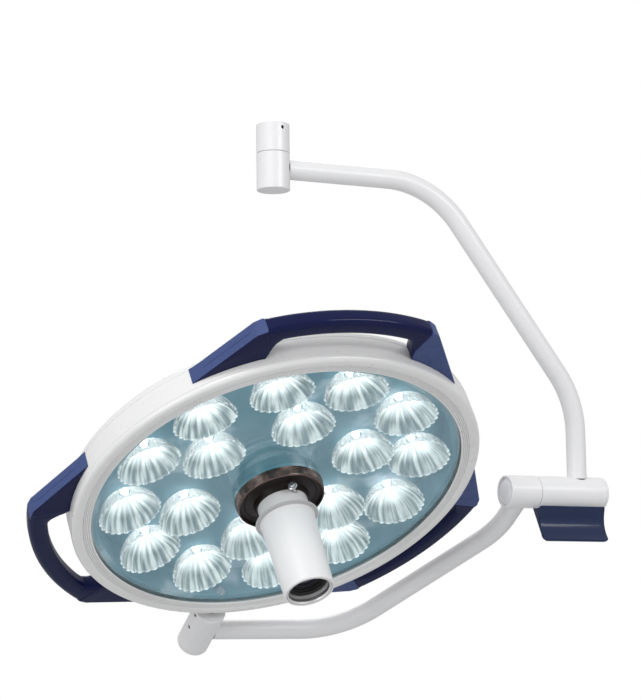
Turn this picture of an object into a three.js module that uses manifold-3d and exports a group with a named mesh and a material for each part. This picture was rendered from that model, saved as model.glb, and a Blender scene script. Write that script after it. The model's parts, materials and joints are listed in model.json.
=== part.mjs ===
// Ceiling-hung surgical and dental operating light: a round LED head with three grab handles and a central
// sterile handle, hung in a two-arm cardanic yoke whose three main axes all meet at the centre of the head.
// Millimetres, +Z up. The origin is the middle of the top face of the socket that a spring arm plugs into.
import * as THREE from "three";
import { mergeVertices } from "three/addons/utils/BufferGeometryUtils.js";
import Module from "manifold-3d";

const wasm = await Module();
wasm.setup();

// ---------------------------------------------------------------- driving dimensions
const GAP = 0.3; // clearance between neighbouring pieces
const HEAD_SIDES = 36; // facets round the head's large rings
const HUB_SIDES = 22; // facets round the hubs and other middling rounds
const SMALL_SIDES = 12; // facets round pins, keys and reflectors
const HEAD_DROP = 530; // from the origin down to the point where the three main axes meet
const YOKE_ANGLE = THREE.MathUtils.degToRad(57.6); // rest angle of the inner arm from hanging straight down
const HEAD_TURN = THREE.MathUtils.degToRad(2); // rest turn of the head about the third axis

const HUB_R = 24.5; // all three joint hubs
const HUB_WALL = 4;
const TUBE_R = 15;
const TUBE_BORE = 12;
const HUB_FLOOR = 4.5; // end plate of a hub half, with the axle's hole through it
const AXLE_R = 8;
const AXLE_HEAD = { radius: 13, thickness: 5 };
const RUNNING_R = AXLE_R + GAP; // holes and bearings that the axles run in
const BEARING_LENGTH = 10;
const SCREW_R = 2.4;
const SCREW_HOLE_R = 2.7;

const SOCKET_LOW = -43.7; // underside of the fixed upper half of the first hub
const SOCKET_BORE_R = 13;
const SOCKET_FLOOR = -36;
const SWIVEL_HIGH = SOCKET_LOW - 2 * GAP;
const SWIVEL_LOW = -99;
const OUTER_ARM_Z = -65.5; // centreline of the outer arm's level run
const OUTER_CORNER_X = 260;
const OUTER_LOW_CORNER = [498, -387]; // x, z of the corner above the second hub
const OUTER_BEND_R = 150;

const ROTOR_X = [372, 423.3]; // second hub, half that turns with the inner arm
const STATOR_X = [423.9, 536]; // second hub, half that hangs from the outer arm
const STATOR_END_X = 540;
const INNER_ARM_X = 403; // where the inner arm leaves the second hub
const INNER_TOP_CORNER = 97.5; // distance down the third axis of the upper corner
const INNER_LOW_CORNER_X = 240.5;
const YOKE_S = 367.5; // distance down the third axis where the inner arm meets the third hub
const INNER_BEND_R = 125;
const YOKE_RANGE = [312, 396]; // third hub's housing along the third axis
const YOKE_END = 407;
const YOKE_R = 25;
const YOKE_SCREWS = [319, 350]; // distances down the third axis of the two screws in the third hub

const HEAD_R = 300;
const WALL_LOW = -26; // rear end of the head's straight side wall
const COVER_BACK = -80; // rear pole of the head's domed cover
const BEZEL_BACK = 10;
const BEZEL_LIP_R = 271.8;
const GLASS_R = 276;
const GLASS_HOLE_R = 66;
const GLASS_H = [11.2, 15.2];
const PLATE_H = [-39.6, -37.6];
const BELL_RIM_R = 46.2;
const BELL_RIM_H = 1.5;
const BELL_NECK_R = 9;
// Each bell's rim leans in towards the head's axis, which aims its beam at the shared spot.
const OUTER_BELLS = { row: "outer", count: 12, radius: 213, first: 17.3, lean: 8 };
const INNER_BELLS = { row: "inner", count: 6, radius: 131, first: 32.3, lean: 5 };

const HANDLE_ANGLES = [91.5, 211.5, 331.5]; // the third hub sits at 270, between two handles
const HANDLE_H = [-24, 2];
const HANDLE_OUT_R = 357;
const HANDLE_IN_R = 329;
const FOOT_TIP = 38; // degrees from the handle's middle to the outer end of a foot
const OUTER_CORNER = 19.5; // and to the two corners where the bar turns into the feet
const INNER_CORNER = 16.8;

const HUB_RING_R = 65.2;
const HUB_RING_BACK = 8;
const HUB_RING_FRONT = 29.5;
const BARREL_R = 27.5;
const BARREL_TIP = 172;
const COLLAR_R = 36.3;
const SLEEVE_LOW = 59.5;
const SLEEVE_TIP = 183.7;
// The latch pin leans sideways out of the collar: a point on its axis at the collar's wall, and its direction.
const LATCH_ROOT = [7.2, 33.7, 38];
const LATCH_LEAN = [-0.556, 0.831, 0];

// ---------------------------------------------------------------- solids
// A manifold solid from vertices and triangles, turned right side out, without collapsed triangles.
function manifoldFrom(vertices, triangles) {
  const kept = [];
  for (let i = 0; i < triangles.length; i += 3) {
    const [a, b, c] = [triangles[i], triangles[i + 1], triangles[i + 2]];
    if (a !== b && b !== c && a !== c) kept.push(a, b, c);
  }
  const vertProperties = new Float32Array(vertices);
  const build = (tri) =>
    new wasm.Manifold(new wasm.Mesh({ numProp: 3, vertProperties, triVerts: new Uint32Array(tri) }));
  const solid = build(kept);
  if (solid.volume() > 0) return solid;
  for (let i = 0; i < kept.length; i += 3) [kept[i + 1], kept[i + 2]] = [kept[i + 2], kept[i + 1]];
  return build(kept);
}

function solidOf(geometry) {
  const bare = geometry.clone();
  bare.deleteAttribute("normal");
  bare.deleteAttribute("uv");
  const merged = mergeVertices(bare, 1e-4);
  return manifoldFrom(merged.attributes.position.array, merged.index.array);
}

// A profile of [radius, height] points turned about +Z. It starts and ends on the axis, or is closed here.
function lathe(profile, segments) {
  const points = profile.map(([r, z]) => new THREE.Vector2(r, z));
  const onAxis = profile[0][0] === 0 && profile.at(-1)[0] === 0;
  if (!onAxis) points.push(points[0].clone());
  return solidOf(new THREE.LatheGeometry(points, segments).rotateX(Math.PI / 2));
}

const ring = (rIn, rOut, low, high, segments) =>
  lathe([[rIn, low], [rOut, low], [rOut, high], [rIn, high]], segments);

const disc = (r, low, high, segments) => lathe([[0, low], [r, low], [r, high], [0, high]], segments);

// A round bar between two points.
function rod(radius, from, to, segments) {
  const a = new THREE.Vector3(...from);
  const along = new THREE.Vector3(...to).sub(a);
  const geometry = new THREE.CylinderGeometry(radius, radius, along.length(), segments);
  geometry.applyQuaternion(
    new THREE.Quaternion().setFromUnitVectors(new THREE.Vector3(0, 1, 0), along.clone().normalize()),
  );
  geometry.translate(...a.addScaledVector(along, 0.5).toArray());
  return solidOf(geometry);
}

function block(low, high) {
  const size = high.map((h, i) => h - low[i]);
  const geometry = new THREE.BoxGeometry(...size);
  geometry.translate(...high.map((h, i) => (h + low[i]) / 2));
  return solidOf(geometry);
}

// ---------------------------------------------------------------- scene graph helpers
const light = new THREE.Group();
const paint = (color, roughness, metalness = 0) => ({ color, roughness, metalness });
const WHITE = paint(0xe9eaeb, 0.35);
const NAVY = paint(0x1b2450, 0.35);
const STEEL = paint(0xb9bcc0, 0.3, 1);
const DARK = paint(0x16171a, 0.5);
const BRONZE = paint(0x6e5a50, 0.35, 1);
const TEAL = paint(0x6491a0, 0.4, 0.3);
const MIRROR = paint(0xdfeaf0, 0.1, 1);
const GLASS = paint(0xbfdde2, 0.05);
const BOARD = paint(0xd8dcd6, 0.5);

function add(group, name, solid, finish) {
  const { vertProperties, triVerts, numProp } = solid.getMesh();
  const position = new Float32Array((vertProperties.length / numProp) * 3);
  for (let i = 0; i < position.length / 3; i += 1) {
    position.set(vertProperties.subarray(i * numProp, i * numProp + 3), i * 3);
  }
  const geometry = new THREE.BufferGeometry();
  geometry.setAttribute("position", new THREE.BufferAttribute(position, 3));
  geometry.setIndex(new THREE.BufferAttribute(new Uint32Array(triVerts), 1));
  geometry.computeVertexNormals();
  const mesh = new THREE.Mesh(geometry, new THREE.MeshStandardMaterial(finish));
  mesh.name = name;
  group.add(mesh);
}

// A group whose own x, y and z axes point along the three given directions of its parent.
function frameGroup(origin, x, y, z) {
  const group = new THREE.Group();
  const pose = new THREE.Matrix4().makeBasis(x, y, z).setPosition(origin);
  group.applyMatrix4(pose);
  light.add(group);
  return group;
}

// ---------------------------------------------------------------- bent arm tubes
// A route through fixed stations: straight runs joined by arcs of one radius at the corners.
class BentRoute extends THREE.Curve {
  constructor(corners, radius, arcStep) {
    super();
    const points = corners.map((c) => new THREE.Vector3(...c));
    this.stations = [points[0]];
    this.headings = [];
    const heading = (i) => points[i + 1].clone().sub(points[i]).normalize();
    this.headings.push(heading(0));
    for (let i = 1; i < points.length - 1; i += 1) {
      const before = heading(i - 1);
      const after = heading(i);
      const bend = before.angleTo(after);
      const side = after.clone().addScaledVector(before, -after.dot(before)).normalize();
      const start = points[i].clone().addScaledVector(before, -radius * Math.tan(bend / 2));
      const steps = Math.ceil(bend / arcStep);
      for (let k = 0; k <= steps; k += 1) {
        const a = (bend * k) / steps;
        const there = start.clone().addScaledVector(before, radius * Math.sin(a));
        this.stations.push(there.addScaledVector(side, radius * (1 - Math.cos(a))));
        this.headings.push(before.clone().multiplyScalar(Math.cos(a)).addScaledVector(side, Math.sin(a)));
      }
    }
    this.stations.push(points.at(-1));
    this.headings.push(heading(points.length - 2));
  }

  getPoint(t) {
    const at = Math.min(Math.max(t, 0), 1) * (this.stations.length - 1);
    const i = Math.min(Math.floor(at), this.stations.length - 2);
    return this.stations[i].clone().lerp(this.stations[i + 1], at - i);
  }

  getPointAt(t) {
    return this.getPoint(t);
  }

  getTangentAt(t) {
    return this.headings[Math.round(t * (this.stations.length - 1))].clone();
  }
}

function bentTube(corners, radius) {
  const route = new BentRoute(corners, radius, THREE.MathUtils.degToRad(9));
  const section = new THREE.Shape().absarc(0, 0, TUBE_R, 0, 2 * Math.PI);
  section.holes.push(new THREE.Path().absarc(0, 0, TUBE_BORE, 0, 2 * Math.PI, true));
  const geometry = new THREE.ExtrudeGeometry(section, {
    steps: route.stations.length - 1,
    curveSegments: 8,
    extrudePath: route,
  });
  return solidOf(geometry);
}

const TUBE_END = HUB_R - HUB_WALL + 0.4; // tubes stop just inside a hub's wall
const tubeHole = (from, to) => rod(TUBE_R + GAP, from, to, HUB_SIDES);

// A ball bearing's ring inside a hub of the given inner radius.
const bearing = (hubInner, low, high) => ring(RUNNING_R, hubInner - GAP, low, high, HUB_SIDES);

// ---------------------------------------------------------------- first hub: vertical swivel
function buildMount() {
  const screwAngle = THREE.MathUtils.degToRad(-76);
  const screwZ = -8.5;
  const radial = (r) => [Math.cos(screwAngle) * r, Math.sin(screwAngle) * r, screwZ];
  const chamfer = 1;
  const screwHole = rod(SCREW_HOLE_R, radial(SOCKET_BORE_R - 3), radial(HUB_R + 3), SMALL_SIDES);
  const socket = lathe(
    [
      [RUNNING_R, SOCKET_LOW],
      [HUB_R, SOCKET_LOW],
      [HUB_R, -chamfer],
      [HUB_R - chamfer, 0],
      [SOCKET_BORE_R, 0],
      [SOCKET_BORE_R, SOCKET_FLOOR],
      [RUNNING_R, SOCKET_FLOOR],
    ],
    HUB_SIDES,
  );
  add(light, "socket_housing", socket.subtract(screwHole), WHITE);
  const screw = rod(SCREW_R, radial(SOCKET_BORE_R + 0.5), radial(HUB_R - 1.5), SMALL_SIDES);
  add(light, "locking_screw", screw, DARK);
  const axleLow = SWIVEL_LOW + 6;
  const axle = lathe(
    [
      [0, axleLow],
      [AXLE_HEAD.radius, axleLow],
      [AXLE_HEAD.radius, axleLow + AXLE_HEAD.thickness],
      [AXLE_R, axleLow + AXLE_HEAD.thickness],
      [AXLE_R, SOCKET_FLOOR + GAP],
      [SOCKET_BORE_R - 1, SOCKET_FLOOR + GAP],
      [SOCKET_BORE_R - 1, SOCKET_FLOOR + 4],
      [0, SOCKET_FLOOR + 4],
    ],
    HUB_SIDES,
  );
  add(light, "swivel_axle", axle, STEEL);
}

// ---------------------------------------------------------------- outer arm
function buildOuterArm() {
  const inner = HUB_R - HUB_WALL;
  const floor = SWIVEL_HIGH - HUB_FLOOR;
  const chamfer = 0.8;
  const swivel = lathe(
    [
      [RUNNING_R, floor],
      [inner, floor],
      [inner, SWIVEL_LOW],
      [HUB_R - chamfer, SWIVEL_LOW],
      [HUB_R, SWIVEL_LOW + chamfer],
      [HUB_R, SWIVEL_HIGH],
      [RUNNING_R, SWIVEL_HIGH],
    ],
    HUB_SIDES,
  ).subtract(tubeHole([10, 0, OUTER_ARM_Z], [40, 0, OUTER_ARM_Z]));
  add(light, "swivel_housing", swivel, WHITE);
  const capThickness = 3.5;
  add(light, "swivel_cap", disc(inner - GAP, SWIVEL_LOW, SWIVEL_LOW + capThickness, HUB_SIDES), WHITE);
  add(light, "swivel_bearing", bearing(inner, floor - BEARING_LENGTH, floor - GAP), STEEL);

  const [lowX, lowZ] = OUTER_LOW_CORNER;
  const tube = bentTube(
    [
      [TUBE_END, 0, OUTER_ARM_Z],
      [OUTER_CORNER_X, 0, OUTER_ARM_Z],
      [lowX, 0, lowZ],
      [lowX, 0, -HEAD_DROP + TUBE_END],
    ],
    OUTER_BEND_R,
  );
  add(light, "outer_arm_tube", tube, WHITE);
}

// The second hub and what hangs from it. Its group has +Z along the world's +X, at the head's centre.
function buildPivot(hub) {
  const inner = HUB_R - HUB_WALL;
  const [low, high] = STATOR_X;
  const floor = low + HUB_FLOOR;
  const tubeX = OUTER_LOW_CORNER[0];
  const stator = lathe(
    [
      [RUNNING_R, low],
      [HUB_R, low],
      [HUB_R, high],
      [inner, high],
      [inner, floor],
      [RUNNING_R, floor],
    ],
    HUB_SIDES,
  ).subtract(tubeHole([0, 10, tubeX], [0, 40, tubeX]));
  add(hub, "pivot_housing", stator, WHITE);
  const plugDepth = 8;
  const cap = lathe(
    [
      [0, high - plugDepth],
      [inner - GAP, high - plugDepth],
      [inner - GAP, high + GAP],
      [HUB_R, high + GAP],
      [HUB_R - 0.9, STATOR_END_X - 1],
      [HUB_R - 3, STATOR_END_X],
      [0, STATOR_END_X],
    ],
    HUB_SIDES,
  );
  add(hub, "pivot_end_cap", cap, WHITE);
  const rotorHead = ROTOR_X[0] + 10;
  const statorHead = floor + GAP;
  const axle = lathe(
    [
      [0, rotorHead],
      [AXLE_HEAD.radius, rotorHead],
      [AXLE_HEAD.radius, rotorHead + AXLE_HEAD.thickness],
      [AXLE_R, rotorHead + AXLE_HEAD.thickness],
      [AXLE_R, statorHead],
      [16, statorHead],
      [16, statorHead + 8],
      [0, statorHead + 8],
    ],
    HUB_SIDES,
  );
  add(hub, "pivot_axle", axle, STEEL);
}

// Control panel under the second hub: a wedge with a hollow front, keys on its slanted back.
const PANEL_X = [426.5, 538];
const PANEL_TOP = -HEAD_DROP - 17;
const PANEL_FRONT = [-12.5, -HEAD_DROP - 26]; // y, z where the hollow front begins
const PANEL_HOLLOW = [-4, -HEAD_DROP - 52]; // the point that pulls the front's curve inwards
const PANEL_LIP = [-22, -HEAD_DROP - 72.5];
const PANEL_BACK_TOP = [13, -HEAD_DROP - 22];
const PANEL_BACK_LOW = [-17, -HEAD_DROP - 75];
const KEY = { radius: 6.5, proud: 0.9, depth: 2.5, spacing: 27, fromTop: 21, clearance: 0.5, travel: 1.6 };

function buildPanel() {
  const outline = new THREE.Shape();
  outline.moveTo(PANEL_FRONT[0] - 0.5, PANEL_TOP);
  outline.lineTo(...PANEL_FRONT);
  outline.quadraticCurveTo(...PANEL_HOLLOW, PANEL_LIP[0], PANEL_LIP[1] + 1);
  outline.lineTo(PANEL_LIP[0] + 1.5, PANEL_LIP[1] - 2);
  outline.lineTo(...PANEL_BACK_LOW);
  outline.lineTo(...PANEL_BACK_TOP);
  outline.lineTo(PANEL_BACK_TOP[0], PANEL_TOP);
  outline.closePath();
  const depth = PANEL_X[1] - PANEL_X[0];
  const geometry = new THREE.ExtrudeGeometry(outline, { depth, bevelEnabled: false, curveSegments: 8 });
  // The outline is drawn in y and z, and extruded along x.
  const y = new THREE.Vector3(0, 1, 0);
  const z = new THREE.Vector3(0, 0, 1);
  geometry.applyMatrix4(new THREE.Matrix4().makeBasis(y, z, new THREE.Vector3(1, 0, 0)));
  geometry.translate(PANEL_X[0], 0, 0);
  const hubAt = (x) => [x, 0, -HEAD_DROP];
  const saddle = rod(HUB_R + GAP, hubAt(PANEL_X[0] - 10), hubAt(PANEL_X[1] + 10), HUB_SIDES);
  let panel = solidOf(geometry).subtract(saddle);

  // The keys sit in pockets in the back face, which leans forward towards the lip.
  const top = new THREE.Vector3(0, ...PANEL_BACK_TOP);
  const down = new THREE.Vector3(0, ...PANEL_BACK_LOW).sub(top).normalize();
  const outward = new THREE.Vector3(0, -down.z, down.y);
  const middleX = (PANEL_X[0] + PANEL_X[1]) / 2;
  ["key_brighter", "key_power", "key_dimmer"].forEach((name, i) => {
    const centre = top.clone().addScaledVector(down, KEY.fromTop);
    centre.x = middleX + (i - 1) * KEY.spacing;
    const at = (d) => centre.clone().addScaledVector(outward, d).toArray();
    const pocketDepth = KEY.depth + KEY.travel;
    panel = panel.subtract(rod(KEY.radius + KEY.clearance, at(-pocketDepth), at(5), SMALL_SIDES));
    add(light, name, rod(KEY.radius, at(-KEY.depth), at(KEY.proud), SMALL_SIDES), DARK);
  });
  add(light, "control_panel", panel, NAVY);
}

// ---------------------------------------------------------------- inner arm
function buildRotor(hub) {
  const inner = HUB_R - HUB_WALL;
  const [low, high] = ROTOR_X;
  const floor = high - HUB_FLOOR;
  const rotor = lathe(
    [
      [RUNNING_R, floor],
      [inner, floor],
      [inner, low],
      [HUB_R - 2, low],
      [HUB_R, low + 2],
      [HUB_R, high],
      [RUNNING_R, high],
    ],
    HUB_SIDES,
  );
  // The third axis, down which the inner arm leaves, in the hub's own x and y.
  const along = (d) => [Math.sin(YOKE_ANGLE) * d, -Math.cos(YOKE_ANGLE) * d, INNER_ARM_X];
  add(hub, "rotor_housing", rotor.subtract(tubeHole(along(10), along(40))), WHITE);
  const cap = lathe(
    [
      [0, low + 5],
      [inner - GAP, low + 5],
      [inner - GAP, low + 1],
      [13, low - 1],
      [0, low - 1.6],
    ],
    HUB_SIDES,
  );
  add(hub, "rotor_cap", cap, WHITE);
  add(hub, "pivot_bearing", bearing(inner, floor - BEARING_LENGTH, floor - GAP), STEEL);
}

// The inner arm lies in the plane of the world's X and the third axis: group x = world X, y = third axis.
function buildInnerArm(arm) {
  const tube = bentTube(
    [
      [INNER_ARM_X, TUBE_END, 0],
      [INNER_ARM_X, INNER_TOP_CORNER, 0],
      [INNER_LOW_CORNER_X, YOKE_S, 0],
      [YOKE_R - HUB_WALL + 0.4, YOKE_S, 0],
    ],
    INNER_BEND_R,
  );
  add(arm, "inner_arm_tube", tube, WHITE);
}

// The third hub, its group's +Z running out along the third axis, x = world X.
function buildYokeHub(hub) {
  const inner = YOKE_R - HUB_WALL;
  const [low, high] = YOKE_RANGE;
  const floor = low + HUB_FLOOR;
  const screwAngle = THREE.MathUtils.degToRad(165);
  const radial = (r, s) => [Math.cos(screwAngle) * r, Math.sin(screwAngle) * r, s];
  let housing = lathe(
    [
      [RUNNING_R, low],
      [YOKE_R - 1.5, low],
      [YOKE_R, low + 1.5],
      [YOKE_R, high],
      [inner, high],
      [inner, floor],
      [RUNNING_R, floor],
    ],
    HUB_SIDES,
  ).subtract(tubeHole([10, 0, YOKE_S], [40, 0, YOKE_S]));
  YOKE_SCREWS.forEach((s, i) => {
    const hole = rod(SCREW_HOLE_R, radial(inner - 2, s), radial(YOKE_R + 2, s), SMALL_SIDES);
    const screw = rod(SCREW_R, radial(inner, s), radial(YOKE_R - 1, s), SMALL_SIDES);
    housing = housing.subtract(hole);
    add(hub, `yoke_screw_${i + 1}`, screw, DARK);
  });
  add(hub, "yoke_housing", housing, WHITE);
  const plugDepth = 6;
  const cap = lathe(
    [
      [0, high - plugDepth],
      [inner - GAP, high - plugDepth],
      [inner - GAP, high + GAP],
      [YOKE_R, high + GAP],
      [YOKE_R - 0.8, YOKE_END - 5],
      [YOKE_R - 4.5, YOKE_END - 1],
      [YOKE_R - 8, YOKE_END],
      [0, YOKE_END],
    ],
    HUB_SIDES,
  );
  add(hub, "yoke_cap", cap, WHITE);
  add(hub, "yoke_bearing", bearing(inner, floor + GAP, floor + GAP + BEARING_LENGTH), STEEL);
}

// ---------------------------------------------------------------- head
// The head's group: +Z out of the front glass, +Y away from the third hub.
const polar = (radius, degrees) => {
  const a = THREE.MathUtils.degToRad(degrees);
  return [radius * Math.cos(a), radius * Math.sin(a)];
};

function buildHousing(head) {
  const shaftHole = rod(AXLE_R + 2, [0, -HEAD_R + 20, 0], [0, -HEAD_R - 20, 0], SMALL_SIDES);
  const coverWall = 3;
  const coverEnd = BEZEL_BACK - GAP;
  const cover = lathe(
    [
      [0, COVER_BACK],
      [110, COVER_BACK + 4],
      [200, COVER_BACK + 15],
      [268, COVER_BACK + 32],
      [284, COVER_BACK + 41.5],
      [295, WALL_LOW - 5.5],
      [HEAD_R, WALL_LOW],
      [HEAD_R, coverEnd],
      [HEAD_R - coverWall, coverEnd],
      [HEAD_R - coverWall, WALL_LOW],
      [291, WALL_LOW - 4.5],
      [265, COVER_BACK + coverWall + 31.8],
      [198, COVER_BACK + coverWall + 15],
      [109, COVER_BACK + coverWall + 4],
      [0, COVER_BACK + coverWall],
    ],
    HEAD_SIDES,
  ).subtract(shaftHole);
  add(head, "rear_cover", cover, WHITE);

  const bezelCrown = BEZEL_BACK + 8.6;
  const glassGap = GLASS_H[1] + GAP;
  const bezel = lathe(
    [
      [HEAD_R, BEZEL_BACK],
      [HEAD_R - 1, BEZEL_BACK + 4.5],
      [HEAD_R - 5, bezelCrown - 0.8],
      [HEAD_R - 11, bezelCrown],
      [HEAD_R - 15, bezelCrown - 1],
      [GLASS_R, bezelCrown - 2],
      [BEZEL_LIP_R, glassGap + 0.6],
      [BEZEL_LIP_R, glassGap],
      [GLASS_R + GAP, glassGap],
      [GLASS_R + GAP, BEZEL_BACK],
    ],
    HEAD_SIDES,
  );
  add(head, "bezel", bezel, WHITE);
  add(head, "front_glass", ring(GLASS_HOLE_R, GLASS_R, ...GLASS_H, HEAD_SIDES), GLASS);
}

// The cast frame that carries the optics and, in a block at the third hub's side, the head's shaft.
function buildCarrier(head) {
  const seat = PLATE_H[0] - GAP; // what the reflector plate rests on
  const glassSeat = GLASS_H[0] - GAP;
  const rim = { low: 4, high: 8 };
  const pan = lathe(
    [
      [250, seat - 3],
      [264.6, seat - 3],
      [264.6, rim.low],
      [HEAD_R - 3.5, rim.low],
      [HEAD_R - 3.5, rim.high],
      [GLASS_R - 0.5, rim.high],
      [GLASS_R - 0.5, glassSeat],
      [268, glassSeat],
      [268, rim.high],
      [262, rim.high],
      [262, seat],
      [250, seat],
    ],
    HEAD_SIDES,
  );
  const shaftTop = -262;
  const shaftEnd = -388;
  const shaftBlock = block([-20, -292, -14], [20, shaftTop - 0.5, 6]);
  const bore = rod(RUNNING_R, [0, shaftTop + 6, 0], [0, -HEAD_R, 0], SMALL_SIDES);
  add(head, "carrier_frame", pan.add(shaftBlock).subtract(bore), STEEL);
  const retainer = rod(
    AXLE_HEAD.radius,
    [0, shaftEnd + AXLE_HEAD.thickness, 0],
    [0, shaftEnd, 0],
    SMALL_SIDES,
  );
  add(head, "head_shaft", rod(AXLE_R, [0, shaftTop, 0], [0, shaftEnd, 0], SMALL_SIDES).add(retainer), STEEL);
}

const bellPlaces = [OUTER_BELLS, INNER_BELLS].flatMap(({ row, count, radius, first, lean }) =>
  Array.from({ length: count }, (_, i) => ({
    name: `reflector_${row}_${i + 1}`,
    at: polar(radius, first + (360 / count) * i),
    slope: polar(Math.tan(THREE.MathUtils.degToRad(lean)), first + (360 / count) * i),
  })),
);

function buildOptics(head) {
  const postR = [44.5, 50];
  let plate = ring(postR[0], 261.5, ...PLATE_H, HEAD_SIDES);
  for (const { at } of bellPlaces) {
    const through = [PLATE_H[0] - 1, PLATE_H[1] + 1].map((h) => [...at, h]);
    plate = plate.subtract(rod(BELL_NECK_R - 2, ...through, 8));
  }
  const centrePost = ring(...postR, PLATE_H[0], HUB_RING_BACK - GAP, HUB_SIDES);
  add(head, "reflector_plate", plate.add(centrePost), TEAL);

  const neckH = PLATE_H[1] + GAP;
  const bell = lathe(
    [
      [BELL_RIM_R, BELL_RIM_H],
      [BELL_RIM_R - 5.2, -14],
      [BELL_RIM_R - 18, -27.5],
      [BELL_NECK_R, neckH],
      [BELL_NECK_R - 1.5, neckH + 0.8],
      [BELL_RIM_R - 18.8, -26],
      [BELL_RIM_R - 6.5, -13.2],
      [BELL_RIM_R - 1.5, BELL_RIM_H],
    ],
    SMALL_SIDES,
  );
  for (const { name, at, slope } of bellPlaces) {
    const leaning = bell.warp((v) => {
      const share = Math.max(0, (v[2] - neckH - 0.8) / (BELL_RIM_H - neckH));
      v[2] += (v[0] * slope[0] + v[1] * slope[1]) * share;
    });
    add(head, name, leaning.translate([...at, 0]), MIRROR);
  }

  const boardHigh = PLATE_H[0] - GAP;
  const boardLow = boardHigh - 1.6;
  add(head, "led_board", ring(62, 249, boardLow, boardHigh, HUB_SIDES), BOARD);

  const sinkHigh = boardLow - GAP;
  const finCount = 12;
  const fin = block([74, -1.25, -55], [214, 1.25, sinkHigh - 1]);
  let sink = ring(62, 244, sinkHigh - 3, sinkHigh, HUB_SIDES);
  for (let i = 0; i < finCount; i += 1) {
    sink = sink.add(fin.rotate([0, 0, (360 / finCount) * (i + 0.5)]));
  }
  add(head, "heat_sink", sink, STEEL);
  add(head, "driver_box", block([-42, -36, -72], [42, 36, -46]), DARK);
}

// One grab handle, drawn centred on the head's +Y: two wedge feet on the side wall and a bar between them.
function buildHandle(head, name, degrees) {
  const corner = (r, a) => polar(r, 90 - a);
  const arcSpan = (half) => [90 - half, 90 + half].map((d) => THREE.MathUtils.degToRad(d));
  const footR = HEAD_R - 12; // the feet are drawn into the wall, then cut back to it
  const shape = new THREE.Shape();
  shape.moveTo(...corner(footR, FOOT_TIP + 2.7));
  shape.lineTo(...corner(HEAD_R + 5, FOOT_TIP));
  shape.lineTo(...corner(HANDLE_OUT_R - 5, OUTER_CORNER + 2.7));
  shape.lineTo(...corner(HANDLE_OUT_R - 1, OUTER_CORNER));
  shape.absarc(0, 0, HANDLE_OUT_R, ...arcSpan(OUTER_CORNER - 1.5), false);
  shape.lineTo(...corner(HANDLE_OUT_R - 1, -OUTER_CORNER));
  shape.lineTo(...corner(HANDLE_OUT_R - 5, -OUTER_CORNER - 2.7));
  shape.lineTo(...corner(HEAD_R + 5, -FOOT_TIP));
  shape.lineTo(...corner(footR, -FOOT_TIP - 2.7));
  shape.lineTo(...corner(footR, -INNER_CORNER - 4.2));
  shape.lineTo(...corner(HANDLE_IN_R - 7, -INNER_CORNER - 1.2));
  shape.lineTo(...corner(HANDLE_IN_R - 1, -INNER_CORNER));
  shape.absarc(0, 0, HANDLE_IN_R, ...arcSpan(1.3 - INNER_CORNER), true);
  shape.lineTo(...corner(HANDLE_IN_R - 1, INNER_CORNER));
  shape.lineTo(...corner(HANDLE_IN_R - 7, INNER_CORNER + 1.2));
  shape.lineTo(...corner(footR, INNER_CORNER + 4.2));
  shape.closePath();
  const soften = 5;
  const geometry = new THREE.ExtrudeGeometry(shape, {
    depth: HANDLE_H[1] - HANDLE_H[0] - 2 * soften,
    bevelSize: soften,
    bevelOffset: -soften,
    bevelThickness: soften,
    bevelSegments: 1,
    curveSegments: 6,
  });
  geometry.translate(0, 0, HANDLE_H[0] + soften);
  const wall = disc(HEAD_R + GAP, -60, 30, 2 * HEAD_SIDES);
  const bar = solidOf(geometry).subtract(wall);
  add(head, name, bar.rotate([0, 0, degrees - 90]), NAVY);
}

// ---------------------------------------------------------------- centre of the head
function buildCentre(head) {
  const bore = COLLAR_R + 0.7;
  const lipR = HUB_RING_R - 1.6;
  const recess = { radius: 61.5, depth: 6 };
  const neck = { radius: 38.6, tip: 35 }; // the collar turns in it, below the latch pin
  const groove = { low: 18.2, high: 19.6, depth: 1 };
  const seat = { radius: 50.5, tip: 14.2 }; // the narrower foot that stands on the centre post
  const hubRing = lathe(
    [
      [bore, HUB_RING_BACK],
      [seat.radius, HUB_RING_BACK],
      [seat.radius, seat.tip],
      [HUB_RING_R, seat.tip],
      [HUB_RING_R, groove.low - 0.5],
      [HUB_RING_R - groove.depth, groove.low],
      [HUB_RING_R - groove.depth, groove.high],
      [HUB_RING_R - 0.3, groove.high + 0.5],
      [lipR, HUB_RING_FRONT - 0.8],
      [lipR - 0.8, HUB_RING_FRONT],
      [recess.radius, HUB_RING_FRONT],
      [recess.radius - 0.6, HUB_RING_FRONT - recess.depth],
      [52, HUB_RING_FRONT - recess.depth - 0.8],
      [neck.radius + 2, HUB_RING_FRONT - 3],
      [neck.radius, neck.tip],
      [bore, neck.tip],
    ],
    HUB_SIDES,
  );
  add(head, "hub_ring", hubRing, BRONZE);

  const flange = { radius: 43.5, low: -36, high: -31 };
  const window = { radius: 22.3, floor: 158 };
  const barrel = lathe(
    [
      [0, flange.low],
      [flange.radius, flange.low],
      [flange.radius, flange.high],
      [BARREL_R, flange.high],
      [BARREL_R, BARREL_TIP],
      [window.radius, BARREL_TIP],
      [window.radius, window.floor],
      [0, window.floor],
    ],
    HUB_SIDES,
  );
  add(head, "camera_barrel", barrel, DARK);
  const lensBack = window.floor + GAP;
  const lens = lathe(
    [
      [0, lensBack],
      [window.radius - GAP, lensBack],
      [window.radius - GAP, lensBack + 2.7],
      [14, lensBack + 5.1],
      [0, lensBack + 6.1],
    ],
    HUB_SIDES,
  );
  add(head, "camera_lens", lens, GLASS);
}

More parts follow.
